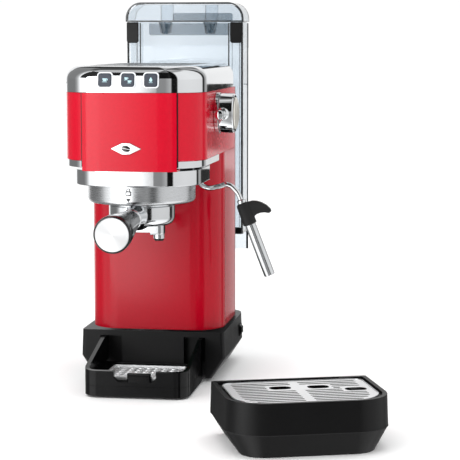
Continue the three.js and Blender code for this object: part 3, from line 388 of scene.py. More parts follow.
# ABS moulded in a polished tool: deep gloss, with only the slow waves of moulding.
GLOSS_ABS = Finish(
    "gloss_black_abs", "060607", 0.16, spacing=16.0, depth=0.03, tone=0.08, gloss=0.04,
    constants=(("IOR", 1.53), ("Specular IOR Level", 0.32)),
)
# Phenolic handle, buffed after moulding.
BUFFED_PHENOLIC = Finish(
    "buffed_black_phenolic", "070708", 0.15, spacing=9.0, depth=0.02, tone=0.1, gloss=0.05,
    constants=(("IOR", 1.6),),
)
# Silicone rubber: no gloss, with a fine bloom.
BLACK_RUBBER = Finish(
    "black_silicone_rubber", "1A1A1B", 0.62, spacing=0.9, depth=0.03, tone=0.15, gloss=0.1,
    constants=(("IOR", 1.43),),
)
# Translucent silicone hose.
HOSE_SILICONE = Finish(
    "milky_silicone_hose", "D9D6CC", 0.5, spacing=1.5, depth=0.02, constants=(("IOR", 1.43),)
)
# Soft-touch key caps in slate.
SLATE_KEY = Finish(
    "slate_soft_touch_key", "343A46", 0.38, spacing=0.8, depth=0.01, tone=0.1, gloss=0.05,
    constants=(("IOR", 1.5),),
)
# White polycarbonate light guides round the keys.
WHITE_GUIDE = Finish(
    "white_polycarbonate", "F2F5F9", 0.3, spacing=1.0, depth=0.008, tone=0.02, constants=(("IOR", 1.58),)
)
# Pad-printed marks in pale and in dark ink, slightly uneven at the edge of each dot.
PALE_INK = Finish("pale_blue_print", "BFE3EC", 0.5, spacing=0.6, depth=0.004, tone=0.06)
DARK_INK = Finish("dark_grey_print", "1C1D20", 0.55, spacing=0.6, depth=0.004, tone=0.1)
# Glass-fibre circuit board with its green mask.
GREEN_BOARD = Finish(
    "green_circuit_board", "1C5638", 0.42, spacing=0.7, depth=0.03, tone=0.2, constants=(("IOR", 1.55),)
)
# Copolyester tank, moulded clear with a grey-blue smoke.
SMOKED_TANK = SmokedFinish(
    "smoked_clear_copolyester", "E6ECF1", 0.03, spacing=30.0, depth=0.02, tone=0.02, gloss=0.02,
    constants=(("IOR", 1.45), ("Transmission Weight", 1.0)),
)
# The lid's pocket and skirt: frosted smoke, tinted darker as painted shade for the recess in the lid.
SHADED_POCKET = SmokedFinish(
    "smoked_frosted_copolyester", "9BA5AC", 0.14, spacing=20.0, depth=0.02, tone=0.03, gloss=0.03,
    constants=(("IOR", 1.3), ("Transmission Weight", 1.0)),
)
# The filter's cups are moulded thicker, so they read darker than the tank round them.
SMOKED_CUP = SmokedFinish(
    "smoked_filter_cup", "B4BEC4", 0.05, spacing=20.0, depth=0.02, tone=0.03, gloss=0.02,
    edge_colour="20272C", constants=(("IOR", 1.45), ("Transmission Weight", 1.0)),
)
# Dense smoked edge beads, nearly black through their whole depth.
SMOKED_BEAD = Finish(
    "dense_smoked_bead", "23282C", 0.15, spacing=12.0, depth=0.02, tone=0.1, constants=(("IOR", 1.57),)
)
# Matt white paper under the whole scene, with the faintest fibre, so that it shows nothing but soft shadows.
PAPER_SWEEP = Finish(
    "white_paper_sweep", "F7F7F7", 0.75, spacing=40.0, depth=0.02, tone=0.004, constants=(("IOR", 1.3),)
)


# ---------- pieces ----------


def applied(thing: bpy.types.Object) -> bpy.types.Mesh:
    """A mesh with the object's modifiers or curve bevel worked into it."""
    graph = bpy.context.evaluated_depsgraph_get()
    return bpy.data.meshes.new_from_object(thing.evaluated_get(graph))


class Piece:
    """One piece, modelled in millimetres on its axes and finished as one object in the frame."""

    def __init__(self, name: str, axes: Axes) -> None:
        """Starts an empty piece.

        Args:
            name: The finished object's name.
            axes: The axes that it is modelled on.
        """
        self.name = name
        self.axes = axes
        self.bm = bmesh.new()
        self.wall = 0.0
        self.cutters: list["Piece"] = []

    def copied(self, node: str) -> "Piece":
        """Takes a CAD node's shape, with its loose triangles joined back into whole faces."""
        self.bm.from_mesh(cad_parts[node].data)
        self.bm.transform(self.axes.matrix.inverted())
        bmesh.ops.remove_doubles(self.bm, verts=self.bm.verts[:], dist=0.005)
        bmesh.ops.dissolve_limit(
            self.bm, angle_limit=math.radians(0.8), verts=self.bm.verts[:], edges=self.bm.edges[:]
        )
        return self

    def plate(
        self, low: Pair, high: Pair, z: float,
        front: float, back: float | None = None, steps: int = 16,
    ) -> bmesh.types.BMFace:
        """A flat face with rounded corners, square to z.

        Args:
            low: The corner with the lowest x and y.
            high: The opposite corner.
            z: Its height.
            front: The radius of the two corners with the lower y.
            back: The radius of the other two, the same as front if left out.
            steps: How many facets each corner has.

        Returns:
            The face.
        """
        verts = bmesh.ops.create_grid(self.bm, x_segments=1, y_segments=1, size=0.5)["verts"]
        size = (high[0] - low[0], high[1] - low[1], 1.0)
        centre = ((low[0] + high[0]) / 2, (low[1] + high[1]) / 2, z)
        bmesh.ops.scale(self.bm, vec=size, verts=verts)
        bmesh.ops.translate(self.bm, vec=centre, verts=verts)
        for radius, corners in (
            (front, [v for v in verts if v.co.y < centre[1]]),
            (front if back is None else back, [v for v in verts if v.co.y > centre[1]]),
        ):
            if radius > 0:
                bmesh.ops.bevel(
                    self.bm, geom=corners, offset=radius, offset_type="OFFSET", affect="VERTICES",
                    segments=steps, profile=0.5, material=-1, clamp_overlap=True,
                )
        level = [f for f in self.bm.faces if all(abs(v.co.z - z) < 0.001 for v in f.verts)]
        return min(level, key=lambda f: (f.calc_center_bounds() - Vector(centre)).length)

    def pulled(self, faces: Sequence[bmesh.types.BMFace], step: Point) -> None:
        """Pulls faces out by a step into a solid."""
        made = bmesh.ops.extrude_face_region(self.bm, geom=faces, use_keep_orig=True)["geom"]
        verts = [g for g in made if isinstance(g, bmesh.types.BMVert)]
        bmesh.ops.translate(self.bm, vec=step, verts=verts)

    def slab(
        self, low: Point, high: Point, front: float, back: float | None = None, steps: int = 16
    ) -> "Piece":
        """An upright prism with rounded corners, from one corner to the opposite one."""
        self.pulled([self.plate(low[:2], high[:2], low[2], front, back, steps)], (0, 0, high[2] - low[2]))
        return self

    def ring(
        self, low: Point, high: Point, width: float, front: float, back: float | None = None, steps: int = 16
    ) -> "Piece":
        """An upright band of one width round the outline that slab would fill."""
        face = self.plate(low[:2], high[:2], low[2], front, back, steps)
        made = bmesh.ops.inset_region(
            self.bm, faces=[face], thickness=width, depth=0, use_even_offset=True, use_boundary=True
        )
        bmesh.ops.delete(self.bm, geom=[face], context="FACES_ONLY")
        self.pulled(made["faces"], (0, 0, high[2] - low[2]))
        return self

    def turned(self, profile: Profile, steps: int = 72) -> "Piece":
        """Turns a profile of (radius, height) pairs about the z axis.

        Args:
            profile: The pairs, from one end on the axis to the other, or back to the first.
            steps: How many facets the turn has.

        Returns:
            The piece.
        """
        verts = [self.bm.verts.new((radius, 0, z)) for radius, z in profile]
        edges = [self.bm.edges.new(pair) for pair in zip(verts, verts[1:])]
        bmesh.ops.spin(
            self.bm, geom=verts + edges, cent=(0, 0, 0), axis=(0, 0, 1), dvec=(0, 0, 0),
            angle=2 * math.pi, steps=steps, use_merge=True, use_duplicate=False,
        )
        return self

    def outline(self, points: Iterable[Pair], y0: float, y1: float) -> "Piece":
        """A prism over an outline seen from the front, given in (x, z), from y0 to y1."""
        face = self.bm.faces.new([self.bm.verts.new((x, y0, z)) for x, z in points])
        self.pulled([face], (0, y1 - y0, 0))
        return self

    def printed(self, points: Iterable[Pair], z: float, thickness: float) -> "Piece":
        """A thin prism over an outline seen from above, given in (x, y)."""
        face = self.bm.faces.new([self.bm.verts.new((x, y, z)) for x, y in points])
        self.pulled([face], (0, 0, thickness))
        return self

    def trimmed(self, place: Point, outward: Point) -> "Piece":
        """Cuts away what lies past a plane."""
        geom = self.bm.verts[:] + self.bm.edges[:] + self.bm.faces[:]
        bmesh.ops.bisect_plane(self.bm, geom=geom, plane_co=place, plane_no=outward, clear_outer=True)
        return self

    def moved(self, place: Point, angle: float = 0.0, about: str = "Z") -> "Piece":
        """Turns the piece about an axis, then moves it to a place."""
        turn = Matrix.Translation(place) @ Matrix.Rotation(math.radians(angle), 4, about)
        bmesh.ops.transform(self.bm, matrix=turn, verts=self.bm.verts[:])
        return self

    def softened(self, radius: float, steps: int, where: Test) -> "Piece":
        """Rounds the edges whose two ends both pass a test on their place.

        Args:
            radius: The rounding's radius.
            steps: Its facets.
            where: A function of a vertex's place that says whether it counts.

        Returns:
            The piece.
        """
        edges = [
            e for e in self.bm.edges
            if all(where(v.co) for v in e.verts) and len(e.link_faces) == 2
            and e.calc_face_angle(0) > SMOOTH_BELOW
        ]
        bmesh.ops.bevel(
            self.bm, geom=edges, offset=radius, offset_type="OFFSET", affect="EDGES", segments=steps,
            profile=0.5, material=-1, clamp_overlap=True,
        )
        return self

    def opened(self, where: Test) -> "Piece":
        """Takes away the faces whose middles pass a test, which leaves a shell for its wall."""
        doomed = [f for f in self.bm.faces if where(f.calc_center_median())]
        bmesh.ops.delete(self.bm, geom=doomed, context="FACES")
        return self

    def carved(self, *cutters: "Piece") -> "Piece":
        """Cuts other pieces out of this one once it is finished."""
        self.cutters.extend(cutters)
        return self

    def raw(self, recalculated: bool = True) -> bpy.types.Object:
        """The piece as a plain object in the frame, before its edges are finished."""
        bmesh.ops.remove_doubles(self.bm, verts=self.bm.verts[:], dist=0.0005)
        if recalculated:
            bmesh.ops.recalc_face_normals(self.bm, faces=self.bm.faces[:])
        self.bm.transform(self.axes.matrix)
        mesh = bpy.data.meshes.new(self.name)
        self.bm.to_mesh(mesh)
        self.bm.free()
        thing = bpy.data.objects.new(self.name, mesh)
        bpy.context.scene.collection.objects.link(thing)
        return thing

    def finish(
        self, finish: Finish, body: str, replaces: Sequence[str] = (), slot: str | None = None,
        edge: float = 0.4, steps: int = 3, recalculated: bool = True,
    ) -> bpy.types.Object:
        """Makes the object, gives it its wall, cuts, edges and material, and hangs it on its body.

        Args:
            finish: Its finish.
            body: The CAD body that it rides on.
            replaces: The CAD nodes that it stands for.
            slot: The record's material slot for it; not used.
            edge: The radius of its worked edges, in millimetres.
            steps: The facets of each worked edge.
            recalculated: Whether its faces are turned outwards again.

        Returns:
            The object.
        """
        thing = self.raw(recalculated)
        if self.wall:
            solid = thing.modifiers.new("wall", "SOLIDIFY")
            solid.thickness = self.wall * MM
            solid.offset = -1
            solid.use_even_offset = True
        tools = [cutter.raw() for cutter in self.cutters]
        for tool in tools:
            cut = thing.modifiers.new("cut", "BOOLEAN")
            cut.operation = "DIFFERENCE"
            cut.solver = "EXACT"
            cut.object = tool
        if thing.modifiers:
            mesh = applied(thing)
            thing.modifiers.clear()
            thing.data = mesh
        for tool in tools:
            bpy.data.objects.remove(tool)
        work_edges(thing, edge, steps)
        thing.data.materials.clear()
        thing.data.materials.append(finish.material())
        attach(thing, body)
        if replaces:
            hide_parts(*replaces)
        LOG.info("made %s with %d faces", self.name, len(thing.data.polygons))
        return thing


def work_edges(thing: bpy.types.Object, edge: float, steps: int) -> None:
    """Shades an object smooth between its sharp edges, and rounds those.

    Args:
        thing: The object.
        edge: The rounding's radius in millimetres, or 0 for none.
        steps: Its facets.
    """
    mesh = thing.data
    mesh.shade_smooth()
    mesh.set_sharp_from_angle(angle=SMOOTH_BELOW)
    if edge:
        bevel = thing.modifiers.new("worked_edges", "BEVEL")
        bevel.width = edge * MM
        bevel.segments = steps
        bevel.limit_method = "ANGLE"
        bevel.angle_limit = SMOOTH_BELOW
        bevel.use_clamp_overlap = True
    weighted = thing.modifiers.new("flat_faces_first", "WEIGHTED_NORMAL")
    weighted.keep_sharp = True
    weighted.weight = 90


def carried(node: str, finish: Finish) -> None:
    """Keeps a CAD node as it is, with a finished material in each of its slots.

    Args:
        node: The node's name.
        finish: Its finish.
    """
    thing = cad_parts[node]
    if not thing.data.materials:
        thing.data.materials.append(None)
    for i in range(len(thing.data.materials)):
        thing.material_slots[i].material = finish.material()
    LOG.info("kept %s as %s", node, finish.name)


def recast(
    name: str, axes: Axes, node: str, finish: Finish, body: str, slot: str, edge: float, steps: int = 3
) -> None:
    """Draws a CAD node's own shape again, with worked edges.

    Args:
        name: The new piece's name.
        axes: The axes that it is worked on.
        node: The CAD node.
        finish: Its finish.
        body: The CAD body that it rides on.
        slot: The record's material slot for it.
        edge: The radius of its worked edges, in millimetres.
        steps: The facets of each worked edge.
    """
    Piece(name, axes).copied(node).finish(finish, body, [node], slot, edge, steps, False)


def bent_sheet(name: str, axes: Axes, node: str, corner: float, sheet: float) -> Piece:
    """A sheet bent round the two front corners of a CAD node, open at its ends and its back.

    Args:
        name: The new piece's name.
        axes: The axes that it is modelled on.
        node: The CAD node whose outline it follows.
        corner: The radius of its front corners.
        sheet: Its thickness.

    Returns:
        The piece.
    """
    low, high = axes.box(node)
    piece = Piece(name, axes)
    piece.slab(low, high, corner, 0.5, 24)
    piece.opened(lambda p: abs(p.z - low.z) < 0.01 or abs(p.z - high.z) < 0.01 or p.y > high.y - 0.1)
    piece.wall = sheet
    return piece


def rounded_foot(radius: float, z: float, across: float, up: float, start: int) -> list[Pair]:
    """The rounded lower edge of a turned piece, as (radius, height) pairs.

    Args:
        radius: The piece's radius above the rounding.
        z: The height of the rounding's bottom.
        across: How far in the rounding reaches.
        up: How high it reaches.
        start: Where it starts, in degrees from straight down.

    Returns:
        The pairs, from the bottom to the side.
    """
    angles = [math.radians(a) for a in range(start, 91, 15)]
    return [(radius - across * (1 - math.sin(a)), z + up * (1 - math.cos(a))) for a in angles]


# ---------- sub-assemblies ----------


@dataclass
class Head:
    """The painted head with its raised centre panel, chrome cover, under-pan and band."""

    axes: Axes
    corner: float = 42.0
    sheet: float = 1.5
    cover_rounding: float = 13.0
    cover_rear_corner: float = 16.0
    panel_proud: float = 2.0
    tray_inset: float = 22.0
    tray_front_inset: float = 28.0
    tray_depth: float = 1.8
    grooves: int = 7

    def build(self) -> None:
        """Builds every piece of the head."""
        self.build_shell()
        self.build_panel()
        self.build_cover()
        self.build_pan()
        self.build_band()
        self.build_badge()

    def build_shell(self) -> None:
        """The painted side panels, one sheet bent round the front corners."""
        piece = bent_sheet("head_side_panels", self.axes, "head_shell", self.corner, self.sheet)
        piece.finish(RED_ENAMEL, "machine", ["head_shell"], "red_painted_steel", 0.45)

    def build_panel(self) -> None:
        """The centre panel, which stands proud of the sides and turns in under the head."""
        low, high = self.axes.box("head_shell")
        panel_low, panel_high = self.axes.box("head_front_panel")
        half = panel_high.x
        proud = self.panel_proud
        piece = Piece("head_centre_panel", self.axes)
        piece.slab(
            (low.x - proud, low.y - proud, panel_low.z), (high.x + proud, 0, panel_high.z),
            self.corner + proud, 0.5, 28,
        )
        piece.softened(2.6, 5, lambda p: p.z < panel_low.z + 0.01)
        piece.opened(lambda p: p.z > panel_high.z - 0.01 or p.y > -1)
        for x in (-half, half):
            piece.trimmed((x, 0, 0), (x, 0, 0))
        piece.trimmed((0, low.y + self.corner / 2, 0), (0, 1, 0))
        piece.opened(lambda p: p.z < panel_low.z + 0.01 and p.y > low.y + 12)
        piece.wall = proud - 0.3
        piece.finish(RED_ENAMEL, "machine", ["head_front_panel"], "red_painted_steel", 0.35)
        run_out = self.corner - math.sqrt(self.corner**2 - (half - high.x + self.corner) ** 2)
        for side in Side:
            strip = Piece(f"panel_seam_{side.name.lower()}", self.axes)
            inner, outer = sorted((side.value * (half + 0.1), side.value * (half + 1.0)))
            front = low.y + run_out - 0.9
            strip.slab((inner, front, panel_low.z + 4), (outer, front + 6, panel_high.z), 0.2, None, 3)
            strip.finish(BLACK_RUBBER, "machine", (), "black_rubber", 0)

    def build_cover(self) -> None:
        """The deep-drawn chrome cover, with its cup tray and the openings for the keys."""
        low, high = self.axes.box("top_cover")
        piece = Piece("chrome_cover", self.axes)
        piece.slab(low, high, self.corner, self.cover_rear_corner, 28)
        piece.softened(self.cover_rounding, 14, lambda p: p.z > high.z - 0.01)
        tray = Piece("tray_cutter", self.axes)
        tray.slab(
            (low.x + self.tray_inset, low.y + self.tray_front_inset, high.z - self.tray_depth),
            (high.x - self.tray_inset, high.y - self.tray_inset - 2, high.z + 5), 20, 10, 12,
        )
        piece.carved(tray)
        keys = Keys(self.axes)
        for name in keys.names:
            hole = Piece("key_cutter", keys.centre_of(name))
            half = keys.bezel / 2 - 0.5
            hole.slab((-half, -half, -9), (half, half, 4), 2.8, None, 8)
            piece.carved(hole)
        piece.finish(CHROME_PLATE, "machine", ["top_cover"], "chromed_steel", 0.5)

        plate_low, plate_high = self.axes.box("cup_plate")
        plate = Piece("cup_warming_plate", self.axes)
        plate.slab(plate_low, plate_high, 20, 10, 12)
        ribs = Piece("rib_cutter", self.axes)
        pitch = (plate_high.x - plate_low.x - 24) / (self.grooves - 1)
        for i in range(self.grooves):
            x = plate_low.x + 12 + pitch * i
            reach = 12 if 0 < i < self.grooves - 1 else 20
            start = (x - 1.5, plate_low.y + reach, plate_high.z - 0.7)
            ribs.slab(start, (x + 1.5, plate_high.y - 10, plate_high.z + 1), 1.45, None, 6)
        plate.carved(ribs)
        plate.finish(WARMING_SHEET, "machine", ["cup_plate"], "spun_aluminium", 0.3)

    def build_pan(self) -> None:
        """The chrome pan that closes the head from below, with a bright rounded lip."""
        low, high = self.axes.box("head_pan")
        piece = Piece("chrome_under_pan", self.axes)
        piece.slab(low, high, self.corner - 1, 0.5, 28)
        piece.softened(4.2, 8, lambda p: p.z < low.z + 0.01)
        piece.finish(CHROME_PLATE, "machine", ["head_pan"], "chromed_steel", 0.3)

    def build_band(self) -> None:
        """The chrome band round the group."""
        low, high = self.axes.box("group_band")
        group_low, group_high = self.axes.box("group_head")
        piece = Piece("chrome_group_band", self.axes)
        piece.slab(low, high, self.corner - 2, 1, 28)
        piece.softened(1.0, 4, lambda p: p.z < low.z + 0.01)
        hole = Piece("group_cutter", self.axes.at((0, (group_low.y + group_high.y) / 2, 0)))
        radius = (group_high.x - group_low.x) / 2 + 1
        hole.turned([(0, low.z - 2), (radius, low.z - 2), (radius, high.z - 1.5), (0, high.z - 1.5)])
        piece.carved(hole)
        piece.finish(CHROME_PLATE, "machine", ["group_band"], "chromed_steel", 0.3)

    def build_badge(self) -> None:
        """A plain lozenge with a coffee bean on it."""
        low, high = self.axes.box("badge")
        centre = (low + high) / 2
        axes = self.axes.at((centre.x, 0, centre.z))
        half = (high.x - low.x) / 2
        rise = (high.z - low.z) / 2
        tip = half / 4
        piece = Piece("badge_lozenge", axes)
        points = [(-half, 0), (-tip, -rise), (tip, -rise), (half, 0), (tip, rise), (-tip, rise)]
        piece.outline(points, low.y + 0.4, high.y)
        piece.finish(CHROME_PLATE, "machine", ["badge"], "chromed_steel", 0.35)
        bean = Piece("badge_bean", axes)
        bmesh.ops.create_uvsphere(bean.bm, u_segments=32, v_segments=16, radius=1.0)
        bmesh.ops.scale(bean.bm, vec=(4.4, 0.7, 2.9), verts=bean.bm.verts[:])
        groove = Piece("groove_cutter", axes)
        groove.slab((-5, -2, -0.25), (5, 2, 0.25), 0.1, None, 2)
        for part in (groove, bean):
            part.moved((0, low.y + 0.4, 0), 12, "Y")
        bean.carved(groove)
        bean.finish(BUFFED_PHENOLIC, "machine", (), "black_handle", 0)


@dataclass
class Keys:
    """Three slate keys in white light guides, with their marks."""

    axes: Axes
    tilt: float = 8.0
    bezel: float = 15.2
    cap: float = 12.3
    gap: float = 0.3
    ink: float = 0.1
    names: tuple[str, ...] = ("button_left", "button_middle", "button_right")

    def build(self) -> None:
        """Builds each key with its guide and its mark."""
        for name, draw in zip(self.names, (self.draw_one_cup, self.draw_two_cups, self.draw_drop)):
            centre = self.centre_of(name)
            self.build_guide(name, centre)
            self.build_key(name, centre)
            mark = Piece(name + "_mark", centre)
            draw(mark)
            mark.finish(PALE_INK, name, (), "white_moulding", 0)
        carried("key_board", GREEN_BOARD)

    def centre_of(self, name: str) -> Axes:
        """Axes at the middle of a key's face, with z pointing out of it."""
        low, high = self.axes.box(name)
        middle = (low + high) / 2
        leaning = self.axes.at(tuple(middle), -self.tilt, "X")
        face = leaning.box(name)[0].y
        return leaning.at((0, face, 0), 90, "X")

    def build_guide(self, name: str, axes: Axes) -> None:
        """The white ring round one key."""
        half = self.bezel / 2
        hole = self.cap / 2 + self.gap
        piece = Piece(name.replace("button", "key_guide"), axes)
        piece.slab((-half, -half, -5.2), (half, half, -0.3), 3.3, None, 10)
        piece.softened(0.8, 4, lambda p: p.z > -0.31)
        inner = Piece("guide_cutter", axes)
        inner.slab((-hole, -hole, -8), (hole, hole, 3), 2.5, None, 8)
        piece.carved(inner)
        replaced = ["key_frame"] if name == "button_middle" else ()
        piece.finish(WHITE_GUIDE, "machine", replaced, "white_moulding", 0.15)

    def build_key(self, name: str, axes: Axes) -> None:
        """One slate cap, rounded over at its rim."""
        half = self.cap / 2
        piece = Piece(name.replace("button", "key_cap"), axes)
        piece.slab((-half, -half, -6), (half, half, 0), 2.3, None, 8)
        piece.softened(0.7, 4, lambda p: p.z > -0.01)
        piece.finish(SLATE_KEY, name, [name], "slate_keycap", 0)

    def draw_cup(self, piece: Piece, x: float, y: float, size: float) -> None:
        """A small cup with its handle, flat on the key."""
        bowl = [(-1.0, 0.75), (1.0, 0.75), (0.9, 0.0), (0.55, -0.6), (-0.55, -0.6), (-0.9, 0.0)]
        handle = [
            (0.98, 0.6), (1.5, 0.6), (1.5, -0.15), (0.8, -0.35), (0.85, -0.1), (1.25, 0.0), (1.25, 0.35),
            (0.96, 0.35),
        ]
        saucer = [(-1.2, -0.8), (1.2, -0.8), (1.2, -1.02), (-1.2, -1.02)]
        for shape in (bowl, handle, saucer):
            self.flat(piece, [(x + size * a, y + size * b) for a, b in shape])

    def flat(self, piece: Piece, points: Sequence[Pair]) -> None:
        """One printed shape, which stands up a little from the key's face."""
        piece.printed(points, -0.02, self.ink)

    def draw_one_cup(self, mark: Piece) -> None:
        """One cup."""
        self.draw_cup(mark, -0.2, 0, 2.0)

    def draw_two_cups(self, mark: Piece) -> None:
        """Two cups, one above and behind the other."""
        self.draw_cup(mark, -1.7, 1.4, 1.5)
        self.draw_cup(mark, 1.5, -1.5, 1.5)

    def draw_drop(self, mark: Piece) -> None:
        """A drop over a dash."""
        angles = [math.radians(a) for a in range(20, -201, -20)]
        self.flat(mark, [(0.0, 2.9), *((1.5 * math.cos(a), -0.1 + 1.5 * math.sin(a)) for a in angles)])
        self.flat(mark, [(-1.8, -2.2), (1.8, -2.2), (1.8, -2.6), (-1.8, -2.6)])


@dataclass
class Group:
    """The brushed collar with its lock mark, and the parts inside it."""

    axes: Axes
    sheet: float = 1.5
    mouth: float = 36.0

    def build(self) -> None:
        """Builds the collar, its mark and the parts up inside it."""
        low, high = self.axes.box("group_collar")
        centre = self.axes.at((0, (low.y + high.y) / 2, 0))
        radius = (high.x - low.x) / 2
        inner = radius - self.sheet
        piece = Piece("brushed_collar", centre)
        piece.turned(
            [(self.mouth, low.z), *rounded_foot(radius, low.z, 4.6, 4.6, 0), (radius, high.z),
             (inner, high.z), (inner, low.z + 4.5), (inner - 3, low.z + self.sheet),
             (self.mouth, low.z + self.sheet), (self.mouth, low.z)],
            128,
        )
        piece.finish(BRUSHED_ROUND, "machine", ["group_collar"], "brushed_stainless", 0.3)
        self.build_mark(centre, radius, (low.z + high.z) / 2)
        carried("group_head", CAST_ALUMINIUM)
        carried("group_gasket", BLACK_RUBBER)
        carried("shower_screen", BRUSHED_ROUND)
        carried("shower_screw", BRUSHED_ROUND)

    def build_mark(self, centre: Axes, radius: float, height: float) -> None:
        """A padlock over an arrow: the handle's locked place."""
        face = centre.at((0, 0, height), -2.8).at((0, -radius + 0.06, 0), 90, "X")
        piece = Piece("lock_mark", face)
        piece.ring((-2.8, 0.8, 0), (2.8, 5.0, 0.2), 0.95, 0.4, 0.4, 3)
        piece.ring((-1.9, 4.4, 0), (1.9, 8.0, 0.2), 0.85, 0.3, 1.7, 6)
        piece.printed([(-2.3, -2.0), (0, -5.6), (2.3, -2.0)], 0, 0.2)
        piece.finish(DARK_INK, "machine", (), "black_moulding", 0)


@dataclass
class Portafilter:
    """The chromed holder with its basket, handle and spouts."""

    axes: Axes
    droop: float = 3.25
    grip_start: float = 56.3
    cup_radius: float = 32.6
    cup_wall: float = 3.0
    cup_floor: float = 7.0
    handle_drop: float = 10.0
    spout_pitch: float = 34.0
    spout_radius: float = 5.5

    def build(self) -> None:
        """Builds the cup, neck, handle, end disc and spouts."""
        low, high = self.axes.box("portafilter_cup")
        basket_low, basket_high = self.axes.box("filter_basket")
        centre = self.axes.at((0, (basket_low.y + basket_high.y) / 2, 0))
        collar_low, _ = self.axes.box("group_collar")
        radius = self.cup_radius
        neck = collar_low.z - 0.6
        throat = (basket_high.x - basket_low.x) / 2
        inner = throat - self.cup_wall + 0.4
        bottom = low.z
        cup = Piece("chrome_cup", centre)
        cup.turned(
            [(0, bottom), (radius - 9, bottom), *rounded_foot(radius, bottom, 8, 8.5, 15),
             (radius, neck - 3.2), (radius - 0.8, neck - 2.6), (radius - 0.8, neck - 1.6),
             (radius, neck - 1.2), (radius, neck), (throat, neck), (throat, high.z), (inner, high.z),
             (inner, bottom + self.cup_floor), (0, bottom + self.cup_floor)],
            96,
        )
        cup.finish(CHROME_CASTING, "portafilter", ["portafilter_cup"], "chromed_casting", 0.35)
        self.build_ears(centre, throat, high.z)
        along = centre.at((0, 0, collar_low.z - self.handle_drop)).at((0, 0, 0), 90 + self.droop, "X")
        self.build_neck(along)
        self.build_handle(along)
        self.build_spouts(centre)
        carried("filter_basket", BRUSHED_ROUND)

    def build_ears(self, centre: Axes, throat: float, top: float) -> None:
        """The two bayonet ears."""
        _, cup_high = self.axes.box("portafilter_cup")
        reach = cup_high.x
        for side in Side:
            piece = Piece(f"bayonet_ear_{side.name.lower()}", centre)
            piece.slab((throat - 1.5, -7, top - 4.1), (reach, 7, top), 2.2, None, 6)
            piece.moved((0, 0, 0), 0 if side is Side.RIGHT else 180)
            piece.finish(CHROME_CASTING, "portafilter", (), "chromed_casting", 0.3)

    def build_neck(self, along: Axes) -> None:
        """The neck that flares out of the cup and carries the handle."""
        piece = Piece("chrome_neck", along)
        flare = [(15.5, 24), (13.4, 27), (11.6, 30.5), (10.2, 34.5), (9.1, 39), (8.5, 44), (8.4, 49)]
        piece.turned(
            [(0, 22), *flare, (9.2, 50.5), (10.2, 51.2), (10.4, 52.4), (10.2, 53.6), (9.4, 54.2), (9.2, 56),
             (0, 56)],
            72,
        )
        piece.finish(CHROME_CASTING, "portafilter", (), "chromed_casting", 0.3)

    def build_handle(self, along: Axes) -> None:
        """The flared black handle and the spun disc in its end."""
        low, high = along.box("portafilter_handle")
        end = high.z
        radius = (high.x - low.x) / 2
        disc = radius - 1.7
        piece = Piece("black_handle_grip", along)
        piece.turned(
            [(0, self.grip_start), (9.0, self.grip_start), (9.9, 58.5), (10.4, 63), (11.4, 72), (12.7, 84),
             (14.2, 98), (15.6, 111), (16.9, 122), (radius, end - 6), (radius, end - 1.4),
             (radius - 0.5, end - 0.3), (radius - 1.1, end), (disc + 0.3, end), (disc + 0.3, end - 1.5),
             (0, end - 1.5)],
            96,
        )
        piece.finish(BUFFED_PHENOLIC, "portafilter", ["portafilter_handle"], "black_handle", 0.2)
        face = Piece("spun_end_disc", along)
        face.turned(
            [(0, end - 1.2), (disc, end - 1.2), (disc, end - 0.35), (disc - 0.5, end), (0.5, end),
             (0.3, end - 0.12), (0, end - 0.15)],
            128,
        )
        spun = SpunFinish(
            "spun_aluminium_disc", "F4F5F6", 0.36, 0.4, spacing=0.9, depth=0.003, tone=0.04, gloss=0.03,
            axes=along,
        )
        face.finish(spun, "portafilter", ["handle_disc"], "spun_aluminium", 0)

    def build_spouts(self, centre: Axes) -> None:
        """The double spout: a cast bridge, two tubes and their black tips."""
        low, high = centre.box("spout_block")
        tube = self.spout_radius
        bridge = Piece("spout_bridge", centre)
        bridge.slab((low.x + 0.4, low.y, low.z + 6), (high.x - 0.4, high.y, high.z), 5, None, 10)
        bridge.softened(2.2, 6, lambda p: p.z < low.z + 6.01)
        arch = Piece("arch_cutter", centre)
        arch.slab((-9.5, low.y - 2, low.z + 2), (9.5, high.y + 2, low.z + 8.6), 0.2)
        bridge.carved(arch)
        bridge.finish(CHROME_CASTING, "portafilter", ["spout_block"], "chromed_casting", 0.6)
        for side in Side:
            name = side.name.lower()
            axes = centre.at((side.value * self.spout_pitch / 2, 0, 0))
            spout = Piece(f"spout_tube_{name}", axes)
            spout.turned(
                [(2.6, low.z + 2.2), (tube, low.z + 2.2), (tube, low.z + 12), (tube - 1, low.z + 13),
                 (2.6, low.z + 13), (2.6, low.z + 2.2)],
                48,
            )
            spout.finish(CHROME_CASTING, "portafilter", (), "chromed_casting", 0.3)
            tip = Piece(f"spout_tip_{name}", axes)
            tip.turned(
                [(2.3, low.z), (4.2, low.z), (4.7, low.z + 0.5), (4.7, low.z + 2.1), (2.3, low.z + 2.1),
                 (2.3, low.z)],
                48,
            )
            tip.finish(BLACK_RUBBER, "portafilter", (), "black_rubber", 0)


